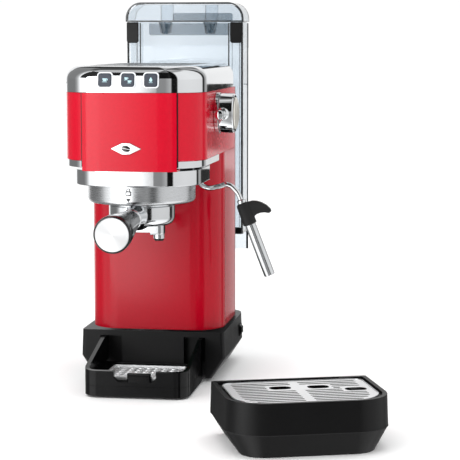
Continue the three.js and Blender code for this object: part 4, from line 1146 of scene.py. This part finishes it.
@dataclass
class SteamKnob:
    """The chrome knob on the machine's right, with its lever and pale cap."""

    axes: Axes
    steps: int = 96

    def build(self) -> None:
        """Builds the collar, the drum, the lever and the cap."""
        low, high = self.axes.box("knob_collar")
        axes = self.axes.at((0, (low.y + high.y) / 2, (low.z + high.z) / 2), 90, "Y")
        start, end = axes.box("knob_collar")
        radius = (end.x - start.x) / 2
        collar = Piece("knob_escutcheon", axes)
        collar.turned(
            [(6, start.z), (radius, start.z), (radius, end.z), (6, end.z), (6, start.z)],
            self.steps,
        )
        collar.finish(CHROME_PLATE, "machine", ["knob_collar"], "chromed_steel", 0.25)
        knob_low, knob_high = axes.box("steam_knob")
        drum = radius - 0.9
        face = knob_high.z
        knob = Piece("chrome_knob_drum", axes)
        knob.turned(
            [(3.4, knob_low.z), (drum - 0.8, knob_low.z), (drum, knob_low.z + 0.8), (drum, face - 1.6),
             (drum - 0.5, face - 0.6), (drum - 1.4, face), (0, face), (0, knob_low.z + 7.2),
             (3.4, knob_low.z + 7.2), (3.4, knob_low.z)],
            self.steps,
        )
        knob.finish(CHROME_PLATE, "steam_knob", ["steam_knob"], "chromed_steel", 0.25)
        reach = -knob_low.y
        lever = Piece("chrome_knob_lever", axes.at((0, 0, knob_low.z + 5), 90, "X"))
        lever.turned(
            [(0, drum - 3), (6.4, drum - 3), (6.4, drum + 1.2), (5.6, drum + 2.4), (3.6, drum + 3.4),
             (3.5, drum + 6), (4.0, drum + 10), (4.7, reach - 4.5), (4.7, reach - 2.5), (4.2, reach - 1.0),
             (3.0, reach - 0.2), (0, reach)],
            56,
        )
        lever.finish(CHROME_CASTING, "steam_knob", (), "chromed_casting", 0.25)
        cap_low, cap_high = axes.box("knob_cap")
        dome = (cap_high.x - cap_low.x) / 2
        cap = Piece("pale_knob_cap", axes)
        rise = cap_high.z - cap_low.z
        angles = [math.radians(a) for a in range(90, -1, -10)]
        arc = [(dome * math.sin(a), cap_low.z + rise * math.cos(a)) for a in angles]
        cap.turned([(0, cap_low.z), *arc], self.steps)
        cap.finish(SATIN_ALUMINIUM, "steam_knob", ["knob_cap"], "spun_aluminium", 0)


@dataclass
class SteamWand:
    """The bent steam pipe with its rubber grip and steel sleeve."""

    axes: Axes
    bend: tuple[Point, ...] = (
        (0, 0, -1.2), (0, 0, -9), (0, 0, -15), (0.6, -0.6, -21.5), (8.5, -2, -26.8), (19, -2, -25.7),
        (29, -2, -23.4), (37.5, -2, -29.2), (44, -2, -42),
    )
    pipe_radius: float = 2.5
    lean: float = 21.14

    def build(self) -> None:
        """Builds the socket, pipe, nut, grip and sleeve."""
        low, high = self.axes.box("wand_socket")
        top = self.axes.at(((low.x + high.x) / 2, (low.y + high.y) / 2, high.z + 0.3))
        drop = high.z - low.z
        socket = Piece("wand_ball_socket", top)
        socket.turned(
            [(3.3, -0.3), (7, -0.3), (7, -1.8), (6.4, -drop + 1.2), (5.0, -drop), (3.3, -drop), (3.3, -0.3)],
            64,
        )
        socket.finish(CHROME_PLATE, "machine", ["wand_socket"], "chromed_steel", 0.3)
        self.build_pipe(top)
        self.build_grip(top)

    def build_pipe(self, top: Axes) -> None:
        """The bent tube, drawn as one smooth line."""
        curve = bpy.data.curves.new("pipe_line", "CURVE")
        curve.dimensions = "3D"
        curve.bevel_depth = self.pipe_radius
        curve.bevel_resolution = 8
        curve.resolution_u = 14
        curve.use_fill_caps = True
        line = curve.splines.new("BEZIER")
        line.bezier_points.add(len(self.bend) - 1)
        for knot, place in zip(line.bezier_points, self.bend):
            knot.co = place
            knot.handle_left_type = knot.handle_right_type = "AUTO"
        drawn = bpy.data.objects.new("pipe_line", curve)
        bpy.context.scene.collection.objects.link(drawn)
        mesh = applied(drawn)
        bpy.data.objects.remove(drawn)
        piece = Piece("steam_pipe_bend", top)
        piece.bm.from_mesh(mesh)
        piece.finish(CHROME_PLATE, "wand", ["wand_pipe"], "chromed_steel", 0)

    def build_grip(self, top: Axes) -> None:
        """The nut, the rubber grip with its fin, and the sleeve over the tube's end."""
        axes = top.at(self.bend[-1], -self.lean, "Y")
        grip_low, _ = axes.box("wand_grip")
        length = -grip_low.z
        nut = Piece("wand_nut", axes)
        nut.turned([(0, -0.2), (4.2, -0.2), (4.4, 0.6), (4.4, 3.0), (3.4, 4.0), (0, 4.0)], 40)
        nut.finish(CHROME_CASTING, "wand", (), "chromed_steel", 0.2)
        grip = Piece("rubber_wand_grip", axes)
        grip.turned(
            [(0, -length), (6.6, -length), (7.0, -length + 0.8), (6.9, -length + 8), (6.6, -2.0), (6.0, -0.8),
             (5.0, -0.3), (0, -0.3)], 56,
        )
        grip.finish(BLACK_RUBBER, "wand", ["wand_grip"], "black_rubber", 0.3)
        fin = Piece("rubber_grip_fin", axes)
        fin.outline(
            [(0, -0.9), (6, -0.6), (10.5, -1.0), (14.5, -2.8), (18.6, -5.8), (22.4, -10.2), (24.6, -14.6),
             (24.9, -17.2), (23.6, -18.6), (21.6, -18.4), (18.5, -16.6), (14.6, -15.5), (10.6, -15.4),
             (7.4, -16.4), (4, -19.5), (0, -19.5)],
            -3.5, 3.5,
        )
        fin.finish(BLACK_RUBBER, "wand", (), "black_rubber", 1.3, 5)
        low, high = axes.box("wand_sleeve")
        radius = (high.y - low.y) / 2
        sleeve = Piece("steel_wand_sleeve", axes)
        sleeve.turned(
            [(1.8, low.z + 2.5), (4.2, low.z + 0.6), (radius - 0.7, low.z), (radius - 0.2, low.z + 0.4),
             (radius, low.z + 1.2), (radius, high.z), (1.8, high.z), (1.8, low.z + 2.5)], 64,
        )
        sleeve.finish(SLEEVE_STEEL, "wand", ["wand_sleeve"], "brushed_stainless", 0.15)


@dataclass
class Body:
    """The painted column, the black base and the back."""

    axes: Axes
    corner: float = 32.0
    sheet: float = 1.5

    def build(self) -> None:
        """Builds the column and the base, and finishes the CAD pieces kept as they are."""
        column = bent_sheet("painted_column", self.axes, "column_wrap", self.corner, self.sheet)
        # The column's deeper red is painted shade from the head above it.
        painted = column.finish(SHADED_ENAMEL, "machine", ["column_wrap"], "red_painted_steel", 0.3)
        painted.visible_glossy = False
        for name, node, finish, body, edge, steps in (
            ("moulded_base", "base_shell", SATIN_ABS, "machine", 0.8, 3),
            ("rear_plate", "rear_frame", SATIN_ABS, "machine", 0.3, 2),
            ("tank_seat_moulding", "tank_seat", SATIN_ABS, "machine", 0.6, 3),
            ("switch_surround", "switch_bezel", GLOSS_ABS, "machine", 0.4, 3),
            ("switch_rocker", "power_rocker", GLOSS_ABS, "power_rocker", 0.35, 3),
        ):
            recast(name, self.axes, node, finish, body, "black_moulding", edge, steps)
        self.build_feet()
        self.build_gland()
        for node, finish in (
            ("base_plate", SATIN_ABS), ("thermoblock", CAST_ALUMINIUM), ("pump", CAST_ALUMINIUM),
            ("pump_bush", BLACK_RUBBER), ("control_board", GREEN_BOARD), ("suction_hose", HOSE_SILICONE),
            ("pressure_pipe", BRUSHED_ROUND), ("steam_pipe", BRUSHED_ROUND), ("wand_feed", BRUSHED_ROUND),
            ("steam_valve", BRASS),
        ):
            carried(node, finish)

    def build_feet(self) -> None:
        """Four rubber feet with a worn edge and a shallow suction ring."""
        for node in ("foot_front_left", "foot_front_right", "foot_rear_left", "foot_rear_right"):
            low, high = self.axes.box(node)
            middle = (low + high) / 2
            radius = (high.x - low.x) / 2
            foot = Piece(f"rubber_{node}", self.axes.at((middle.x, middle.y, 0)))
            foot.turned(
                [(0, 0.6), (radius - 3, 0.6), (radius - 2.4, 0), (radius - 1, 0), (radius, 1),
                 (radius, high.z), (0, high.z)], 48,
            )
            foot.finish(BLACK_RUBBER, "machine", [node], "black_rubber", 0.2)

    def build_gland(self) -> None:
        """The cord gland in the back of the base: a flange with a short ribbed nose, and no cord in it."""
        low, high = self.axes.box("cord_gland")
        middle = (low + high) / 2
        axes = self.axes.at((middle.x, 0, middle.z), -90, "X")
        start, end = axes.box("cord_gland")
        gland = Piece("cord_strain_relief", axes)
        flange = (end.x - start.x) / 2
        face = start.z + 8.3
        gland.turned(
            [(3.6, start.z), (flange - 2.5, start.z), (flange - 2.5, face), (flange, face),
             (flange, face + 2.2), (flange - 2.5, face + 3.2), (6.4, face + 3.6), (6.4, face + 4.8),
             (5.7, face + 5.2), (5.7, face + 6.2), (6.2, face + 6.6), (6.0, end.z), (3.6, end.z),
             (3.6, start.z)], 56,
        )
        gland.finish(BLACK_RUBBER, "machine", ["cord_gland"], "black_rubber", 0.2)


@dataclass
class Tank:
    """The smoked water tank with its hinged lid, pads, feet and valve."""

    axes: Axes
    bead: float = 1.4
    rib_half: float = 9.2
    lid_radius: float = 18.0
    lid_setback: float = 20.0
    pocket_height: float = 10.0
    pocket_span: Pair = (-17.0, 52.0)
    skirt_depth: float = 15.0
    skirt_span: Pair = (-44.0, 52.0)
    cup_places: Pair = (-23.0, 28.0)

    @property
    def lid_line(self) -> float:
        """The height of the line where the lid meets the tank."""
        return self.axes.box("tank_body")[1].z + 0.3

    def build(self) -> None:
        """Builds the tank's clear and black pieces."""
        for name, node, body in (
            ("smoked_tank", "tank_body", "tank"), ("smoked_tank_lid", "tank_lid", "tank_lid")
        ):
            recast(name, self.axes, node, SMOKED_TANK, body, "smoked_clear_plastic", 0.5)
        self.build_beads()
        self.build_lid_details()
        self.build_pads()
        low, high = self.axes.box("tank_valve")
        middle = (low + high) / 2
        valve = Piece("tank_valve_plug", self.axes.at((middle.x, middle.y, 0)))
        valve.turned(
            [(0, low.z), (3, low.z), (3, high.z - 4.7), (7, high.z - 4.7), (7, high.z - 2.6),
             (3.4, high.z - 1.6), (1.2, high.z), (0, high.z)], 48,
        )
        valve.finish(BLACK_RUBBER, "tank_valve", ["tank_valve"], "black_rubber", 0.15)

    def build_beads(self) -> None:
        """The dense beads that stiffen the tank's corners and ribs, and the ribs' black ends."""
        low, high = self.axes.box("tank_body")
        for side in Side:
            name = side.name.lower()
            pad_low, pad_high = self.axes.box(f"tank_pad_{name}")
            rib = abs(pad_low.x + pad_high.x) / 2 - self.rib_half
            for label, x, front, width, bottom in (
                ("back", high.x - 2.4, high.y + 0.05, 2.4, low.z),
                ("front", high.x - 1.9, low.y - 0.6, 1.3, low.z + 23),
                ("rib", rib, low.y - 0.6, 1.5, low.z + 23),
            ):
                start, end = sorted((side.value * x, side.value * (x + width)))
                bead = Piece(f"tank_{label}_bead_{name}", self.axes)
                bead.slab((start, front, bottom), (end, front + self.bead, high.z - 1), 0.5, None, 4)
                bead.finish(SMOKED_BEAD, "tank", (), "black_moulding", 0.15)
            foot = Piece(f"tank_rib_foot_{name}", self.axes)
            bottom = low.z + 22
            foot.slab((pad_low.x, low.y - 0.4, bottom), (pad_high.x, low.y + 7, bottom + 7.2), 1.2, None, 5)
            foot.finish(SATIN_ABS, "tank", (), "black_moulding", 0.6)

    def build_lid_details(self) -> None:
        """The lid's dense rim, its finger pocket and the two cups that hold its filter."""
        low, high = self.axes.box("tank_lid")
        front = self.axes.at((0, 0, 0), 90, "X")
        for label, y in (("front", low.y + 0.8), ("back", high.y - 0.3)):
            rim = Piece(f"tank_lid_rim_{label}", front)
            corner = (high.x, high.z, -y + 1.2)
            rim.ring((low.x, self.lid_line, -y), corner, 1.5, 0.8, self.lid_radius, 12)
            rim.finish(SMOKED_BEAD, "tank_lid", (), "black_moulding", 0.15)
        depth = low.y + self.lid_setback
        line = self.lid_line
        for name, span, bottom, top, back, lower, upper in (
            ("tank_lid_pocket", self.pocket_span, line, line + self.pocket_height, -depth, 0.3, 2.5),
            ("tank_lid_skirt", self.skirt_span, line - self.skirt_depth, line - 1.5, -depth - 1, 2.5, 0.3),
        ):
            piece = Piece(name, front)
            piece.slab((span[0], bottom, back), (span[1], top, back + 1.5), lower, upper, 6)
            # Both are tinted darker as painted shade.
            piece.finish(SHADED_POCKET, "tank_lid", (), "smoked_clear_plastic", 0.2)
        for side, x in zip(Side, self.cup_places):
            cup = Piece(f"tank_filter_cup_{side.name.lower()}", self.axes.at((x, depth - 9, line)))
            cup.turned(
                [(0, -13.5), (5.0, -13.5), (5.9, -12.6), (8.0, -0.6), (7.0, -0.6), (4.9, -12.4), (0, -12.4)],
                40,
            )
            cup.finish(SMOKED_CUP, "tank_lid", (), "smoked_clear_plastic", 0.15)

    def build_pads(self) -> None:
        """The two rubber pads at the top of the ribs."""
        for side in Side:
            node = f"tank_pad_{side.name.lower()}"
            low, high = self.axes.box(node)
            centre = (low + high) / 2
            half = (high - low) / 2
            pad = Piece(f"rubber_{node}", self.axes.at((centre.x, 0, centre.z), 90, "X"))
            pad.slab((-half.x, -half.z, -high.y), (half.x, half.z, -low.y), 3.0, 1.0, 6)
            pad.finish(SATIN_ABS, "tank", [node], "black_rubber", 1.0, 4)


@dataclass
class LowerTray:
    """The small tray plugged into the base, with its stamped grid."""

    axes: Axes
    across: int = 8
    deep: int = 5
    border: float = 4.0
    hole: Pair = (3.2, 2.2)
    bridge: Point = (3.6, 2.0, 1.7)
    rim_width: float = 1.5
    rim_rise: float = 1.7
    tab_half: float = 12.0
    tab_reach: float = 5.0

    def build(self) -> None:
        """Builds the tray, its foot and its grid."""
        for name, node, edge in (
            ("gloss_lower_tray", "lower_tray", 0.7), ("lower_tray_plinth", "lower_tray_foot", 0.6)
        ):
            recast(name, self.axes, node, GLOSS_ABS, "lower_tray", "black_moulding", edge)
        self.build_grid()

    def build_grid(self) -> None:
        """The stamped grid, with rows of raised bridges inside a polished rim."""
        low, high = self.axes.box("lower_grid")
        grid = Piece("stamped_tray_grid", self.axes)
        grid.slab(low, high, 3, None, 6)
        holes = Piece("hole_cutter", self.axes)
        half_x, half_y = self.hole
        for x, y in self.grid_places(low, high):
            start = (x - half_x, y - half_y, low.z - 1)
            holes.slab(start, (x + half_x, y + half_y, high.z + 1), 2.0, None, 4)
        grid.carved(holes)
        grid.finish(STAMPED_GRID, "lower_grid", ["lower_grid"], "chromed_steel", 0.25)
        rim = Piece("polished_grid_rim", self.axes)
        rim.ring(low, (high.x, high.y, high.z + self.rim_rise), self.rim_width, 3, 3, 6)
        rim.finish(STAMPED_GRID, "lower_grid", (), "chromed_steel", 0.4)
        bridges = Piece("raised_grid_bridges", self.axes)
        shape = Matrix.Diagonal((*self.bridge, 1.0))
        for x, y in self.grid_places(low, high, 0.5):
            place = Matrix.Translation((x, y, high.z - 0.2)) @ shape
            bmesh.ops.create_uvsphere(bridges.bm, u_segments=20, v_segments=10, radius=1.0, matrix=place)
        bridges.finish(STAMPED_GRID, "lower_grid", (), "chromed_steel", 0)
        tab = Piece("grid_finger_tab", self.axes)
        start = (-self.tab_half, low.y - self.tab_reach, low.z + 0.6)
        tab.slab(start, (self.tab_half, low.y - 0.2, high.z + 5), 1.5, None, 5)
        tab.finish(GLOSS_ABS, "lower_tray", (), "black_moulding", 0.6)

    def grid_places(self, low: Vector, high: Vector, shift: float = 0.0) -> list[Pair]:
        """Middles of the grid's openings, or of the bridges between them when shifted by half a pitch."""
        left, front = low.x + self.border, low.y + self.border
        pitch_x = (high.x - self.border - left) / self.across
        pitch_y = (high.y - self.border - front) / self.deep
        return [
            (left + pitch_x * (i + 0.5 + shift), front + pitch_y * (row + 0.5))
            for row in range(self.deep)
            for i in range(self.across - (1 if shift else 0))
        ]


@dataclass
class DripTray:
    """The large drip tray that stands beside the machine, with its slotted deck."""

    axes: Axes
    turn: float = 18.9
    kink: float = 20.6
    outer_corner: float = 34.0
    corner: float = 28.7
    slot_rows: int = 12
    slot: float = 3.1
    sheet: float = 0.2
    gap: float = 2.4
    back_corner: float = 11.0
    margin: float = 8.0
    rib_half: float = 4.0
    opening: Pair = (9.6, 6.4)
    plain_round_opening: Pair = (12.0, 9.5)
    openings: tuple[Pair, ...] = ((-15.5, -35.0), (18.5, -36.0), (49.0, -50.0))

    def build(self) -> None:
        """Builds the tub with its seam, and the deck with its polished edge."""
        axes = self.own_axes()
        recast("moulded_drip_tub", axes, "drip_tub", SATIN_ABS, "drip_tray", "black_moulding", 0.8)
        low, high = axes.box("drip_tub")
        seam = Piece("drip_tub_seam", axes)
        grow = 0.12
        seam.ring(
            (low.x - grow, low.y - grow, self.kink - 0.35), (high.x + grow, high.y - 1, self.kink + 0.35),
            1.2, self.outer_corner, 1.5,
        )
        seam.finish(BLACK_RUBBER, "drip_tray", (), "black_rubber", 0)
        self.build_deck(axes)

    def own_axes(self) -> Axes:
        """The tray's own axes, from the middle of its back edge, with y towards its back."""
        turned = self.axes.at((0, 0, 0), self.turn)
        low, high = turned.box("drip_tub")
        return turned.at(((low.x + high.x) / 2, high.y, 0))

    def build_deck(self, axes: Axes) -> None:
        """The stainless deck, with two banks of slots and three float openings."""
        low, high = axes.box("drip_deck")
        inset = Vector((self.gap, self.gap, 0))
        low, high = low + inset, high - inset
        deck = Piece("slotted_steel_deck", axes)
        deck.slab((low.x, low.y, high.z - self.sheet), high, self.corner, self.back_corner, 16)
        cuts = Piece("slot_cutter", axes)
        pitch = (high.y - low.y - 15) / (self.slot_rows - 1)
        for row in range(self.slot_rows):
            y = low.y + 7 + pitch * row
            reach = high.x - self.margin - self.corner_loss(y - low.y)
            plain_x, plain_y = self.plain_round_opening
            clear = [(-self.rib_half, self.rib_half)]
            clear += [(x - plain_x, x + plain_x) for x, middle in self.openings if abs(y - middle) < plain_y]
            for start, end in self.spans(-reach, reach, sorted(clear)):
                half = self.slot / 2
                cuts.slab((start, y - half, low.z - 1), (end, y + half, high.z + 1), half * 0.98, None, 4)
        half_x, half_y = self.opening
        for x, y in self.openings:
            start = (x - half_x, y - half_y, low.z - 1)
            cuts.slab(start, (x + half_x, y + half_y, high.z + 1), 5.6, None, 8)
        deck.carved(cuts)
        deck.finish(BRUSHED_DECK, "drip_deck", ["drip_deck"], "brushed_stainless", 0.1, 2)
        rim = Piece("polished_deck_edge", axes)
        rim.ring(
            (low.x, low.y, high.z - 0.3), (high.x, high.y, high.z + 0.5), 0.9, self.corner, self.back_corner
        )
        rim.finish(CHROME_PLATE, "drip_deck", (), "brushed_stainless", 0.25)

    def spans(self, start: float, end: float, clear: Iterable[Pair]) -> list[Pair]:
        """What is left of a row once the plain places are taken out of it."""
        left = []
        for low, high in clear:
            if low - start > 3:
                left.append((start, low))
            start = max(start, high)
        if end - start > 3:
            left.append((start, end))
        return left

    def corner_loss(self, depth: float) -> float:
        """How much the rounded front corner takes off a row that lies so far behind the front edge."""
        if depth >= self.corner:
            return 0.0
        return self.corner - math.sqrt(self.corner**2 - (self.corner - depth) ** 2)


# ---------- studio ----------


@dataclass(frozen=True)
class Board:
    """A board near the machine that lights it, bright at one upright edge and fading to the other."""

    name: str
    low: Point
    high: Point
    bright: float
    dim: float
    fade: float


@dataclass(frozen=True)
class Lamp:
    """A soft square lamp, with its size in metres and its power in watts."""

    name: str
    place: Point
    size: float
    power: float


@dataclass
class Studio:
    """Plain pale floor, soft light, the surroundings that the shiny pieces see, and the camera.

    rounds lists (azimuth, brightness) round the horizon, with the azimuth in degrees from straight in
    front and positive to the right; rises lists (height, share of it) up from the floor. The strip
    flag hangs in front, between two heights, from the left to the right azimuth.
    """

    axes: Axes
    eye: Point = (332.44, -1674.18, 353.04)
    lens: float = 131.42
    down: float = 0.1148
    left: float = 0.1493
    dome_centre: Point = (0.0, 0.0, 200.0)
    dome_radius: float = 20000.0
    aim: Point = (0.0, 0.0, 180.0)
    floor_size: float = 60000.0
    brightest: float = 2.0
    rounds: tuple[Pair, ...] = (
        (-180, 1.0), (-166, 0.9), (-163, 0.04), (-150, 0.04), (-142, 0.3), (-120, 0.25), (-92, 0.25),
        (-82, 0.5), (-70, 1.5), (-25, 1.5), (-8, 0.34), (12, 0.34), (27, 0.6), (29, 0.01), (44, 0.01),
        (46, 0.95), (84, 1.0), (129, 0.95), (132, 0.04), (141, 0.04), (145, 0.5), (163, 0.4), (167, 0.03),
        (175, 0.03), (178, 1.0), (180, 1.0),
    )
    rises: tuple[Pair, ...] = (
        (-90, 1.5), (-30, 1.3), (-12, 0.75), (-2, 0.9), (6, 1.0), (60, 1.0), (67, 0.35), (90, 0.7),
    )
    strip_round: Pair = (-72.0, 44.0)
    strip_rise: Pair = (12.0, 64.0)
    lamps: tuple[Lamp, ...] = (
        Lamp("key_light", (-900.0, -1300.0, 1100.0), 0.9, 5.0),
        Lamp("top_light", (200.0, -300.0, 1700.0), 1.6, 4.0),
    )
    boards: tuple[Board, ...] = (
        Board("left_softbox", (-700.0, -640.0, -20.0), (-66.0, -640.0, 620.0), 3.6, 0.2, 95.0),
        Board("rear_softbox_low", (-500.0, 420.0, -20.0), (121.0, 420.0, 293.0), 1.1, 0.02, 6.0),
        Board("rear_softbox_high", (-500.0, 420.0, 294.0), (300.0, 420.0, 620.0), 1.0, 0.8, 200.0),
        Board("rear_softbox_lip", (121.0, 421.0, 186.0), (300.0, 421.0, 210.0), 0.8, 0.6, 100.0),
    )

    def build(self) -> None:
        """Sets up everything round the machine."""
        self.build_floor()
        self.build_world()
        self.build_surroundings()
        for board in self.boards:
            self.build_board(board)
        self.build_lights()
        self.build_camera()
        bpy.context.scene.view_settings.view_transform = "Standard"

    def build_floor(self) -> None:
        """A wide white sweep with a faint paper grain."""
        piece = Piece("studio_floor", Axes(Matrix.Scale(MM, 4)))
        bmesh.ops.create_grid(piece.bm, x_segments=8, y_segments=8, size=self.floor_size)
        floor = piece.raw(False)
        floor.data.materials.append(PAPER_SWEEP.material())
        floor.visible_glossy = False

    def build_world(self) -> None:
        """Even white light, stronger overhead and weaker from the right."""
        world = bpy.data.worlds.new("studio_world")
        world.use_nodes = True
        tree = world.node_tree
        tree.nodes.clear()
        place = add_node(tree, "ShaderNodeTexCoord")
        split = add_node(tree, "ShaderNodeSeparateXYZ", {"Vector": place.outputs["Generated"]})
        overhead = mapped(tree, split.outputs["Z"], 0.1, 1.0, 1.02, 1.6)
        from_right = mapped(tree, split.outputs["X"], 0.4, 1.0, 1.0, 0.3)
        strength = reckoned(tree, "MULTIPLY", overhead, from_right)
        light = add_node(tree, "ShaderNodeBackground", {"Strength": strength})
        light.inputs["Color"].default_value = (1.0, 1.0, 1.0, 1.0)
        add_node(tree, "ShaderNodeOutputWorld", {"Surface": light.outputs["Background"]})
        bpy.context.scene.world = world

    def glowing(self, name: str, brightness: Callable[[Tree], Socket]) -> bpy.types.Material:
        """A material that only glows.

        Args:
            name: Its name.
            brightness: A function of the node tree that returns the socket with its brightness.

        Returns:
            The material.
        """
        material = bpy.data.materials.new(name)
        material.use_nodes = True
        tree = material.node_tree
        tree.nodes.clear()
        glow = add_node(tree, "ShaderNodeEmission", {"Strength": brightness(tree)})
        add_node(tree, "ShaderNodeOutputMaterial", {"Surface": glow.outputs["Emission"]})
        return material

    def ramp(
        self, tree: Tree, value: Socket, stops: Sequence[Pair], start: float, end: float, top: float
    ) -> Socket:
        """A table of brightness against an angle, as a colour ramp.

        Args:
            tree: The node tree.
            value: The socket with the angle, in radians.
            stops: Pairs of angle in degrees and brightness.
            start: The first angle, in degrees.
            end: The last angle, in degrees.
            top: The brightness that counts as white in the ramp.

        Returns:
            The socket with the share of top.
        """
        share = mapped(tree, value, math.radians(start), math.radians(end), 0.0, 1.0)
        node = add_node(tree, "ShaderNodeValToRGB", {"Fac": share})
        elements = node.color_ramp.elements
        for i, (angle, _) in enumerate(stops):
            place = (angle - start) / (end - start)
            stop = elements[i] if i < 2 else elements.new(place)
            stop.position = place
        for stop, (_, level) in zip(elements, stops):
            stop.color = (level / top, level / top, level / top, 1.0)
        return node.outputs["Color"]

    def build_surroundings(self) -> None:
        """A dome that only reflections see, painted with the studio's light and dark sides."""
        piece = Piece("studio_surroundings", self.axes.at(self.dome_centre))
        bmesh.ops.create_uvsphere(piece.bm, u_segments=48, v_segments=24, radius=self.dome_radius)
        dome = piece.raw()
        centre = piece.axes.matrix.translation

        def brightness(tree: Tree) -> Socket:
            """The dome's brightness in each direction."""
            place = add_node(tree, "ShaderNodeTexCoord").outputs["Object"]
            spoke = add_node(tree, "ShaderNodeVectorMath", {0: place, 1: centre}, operation="SUBTRACT")
            unit = add_node(
                tree, "ShaderNodeVectorMath", {0: spoke.outputs["Vector"]}, operation="NORMALIZE"
            )
            split = add_node(tree, "ShaderNodeSeparateXYZ", {"Vector": unit.outputs["Vector"]})
            front = reckoned(tree, "MULTIPLY", split.outputs["Y"], -1.0)
            turn = reckoned(tree, "ARCTAN2", split.outputs["X"], front)
            rise = reckoned(tree, "ARCSINE", split.outputs["Z"])
            level = self.ramp(tree, turn, self.rounds, -180, 180, self.brightest)
            share = self.ramp(tree, rise, self.rises, -90, 90, 1.0)
            inside = [
                reckoned(
                    tree, "COMPARE", socket, math.radians(low + high) / 2, math.radians(high - low) / 2
                )
                for socket, (low, high) in ((turn, self.strip_round), (rise, self.strip_rise))
            ]
            keep = mapped(tree, reckoned(tree, "MULTIPLY", *inside), 0.0, 1.0, self.brightest, 0.04)
            return reckoned(tree, "MULTIPLY", reckoned(tree, "MULTIPLY", level, share), keep)

        dome.data.materials.append(self.glowing("studio_surroundings", brightness))
        self.reflected_only(dome)

    def reflected_only(self, thing: bpy.types.Object) -> None:
        """Lets only reflections see an object."""
        thing.visible_camera = False
        thing.visible_diffuse = False
        thing.visible_shadow = False
        thing.visible_transmission = False

    def build_board(self, board: Board) -> None:
        """One soft box close by, whose edge fades across the machine's flat faces."""
        low, high = board.low, board.high
        piece = Piece(board.name, self.axes)
        bmesh.ops.create_grid(piece.bm, x_segments=1, y_segments=1, size=0.5)
        middle = (Vector(low) + Vector(high)) / 2
        turn = Matrix.Translation(middle) @ Matrix.Rotation(math.radians(-90), 4, "X")
        stretch = Matrix.Diagonal((high[0] - low[0], high[2] - low[2], 1, 1))
        bmesh.ops.transform(piece.bm, matrix=turn @ stretch, verts=piece.bm.verts[:])
        thing = piece.raw(False)
        edge = (self.axes.matrix @ Vector(high)).x

        def brightness(tree: Tree) -> Socket:
            """The board's brightness from its bright side to its edge."""
            place = add_node(tree, "ShaderNodeTexCoord").outputs["Object"]
            split = add_node(tree, "ShaderNodeSeparateXYZ", {"Vector": place})
            return mapped(tree, split.outputs["X"], edge - board.fade * MM, edge, board.bright, board.dim)

        thing.data.materials.append(self.glowing(board.name, brightness))
        self.reflected_only(thing)

    def build_lights(self) -> None:
        """A key light from the front left and a soft top light, neither seen in reflections."""
        for lamp in self.lamps:
            light = bpy.data.lights.new(lamp.name, "AREA")
            light.size = lamp.size
            light.energy = lamp.power
            thing = bpy.data.objects.new(lamp.name, light)
            thing.location = self.axes.matrix @ Vector(lamp.place)
            thing.visible_glossy = False
            target = self.axes.matrix @ Vector(self.aim)
            thing.rotation_euler = (target - thing.location).to_track_quat("-Z", "Y").to_euler()
            bpy.context.scene.collection.objects.link(thing)

    def build_camera(self) -> None:
        """The camera, slightly above and to the right of the front."""
        data = bpy.data.cameras.new("camera")
        data.lens = self.lens
        data.sensor_width = 36.0
        data.clip_end = 50.0
        camera = bpy.data.objects.new("camera", data)
        camera.location = self.axes.matrix @ Vector(self.eye)
        camera.rotation_euler = (math.pi / 2 - self.down, 0.0, self.left)
        bpy.context.scene.collection.objects.link(camera)
        bpy.context.scene.camera = camera


def main() -> None:
    """Builds the machine and its studio."""
    logging.basicConfig(level=logging.INFO, format="%(message)s")
    axes = machine_axes()
    for maker in (
        Body, Head, Keys, Group, Portafilter, SteamKnob, SteamWand, Tank, LowerTray, DripTray, Studio
    ):
        LOG.info("%s", maker.__name__)
        maker(axes).build()


if __name__ == "__main__":
    main()
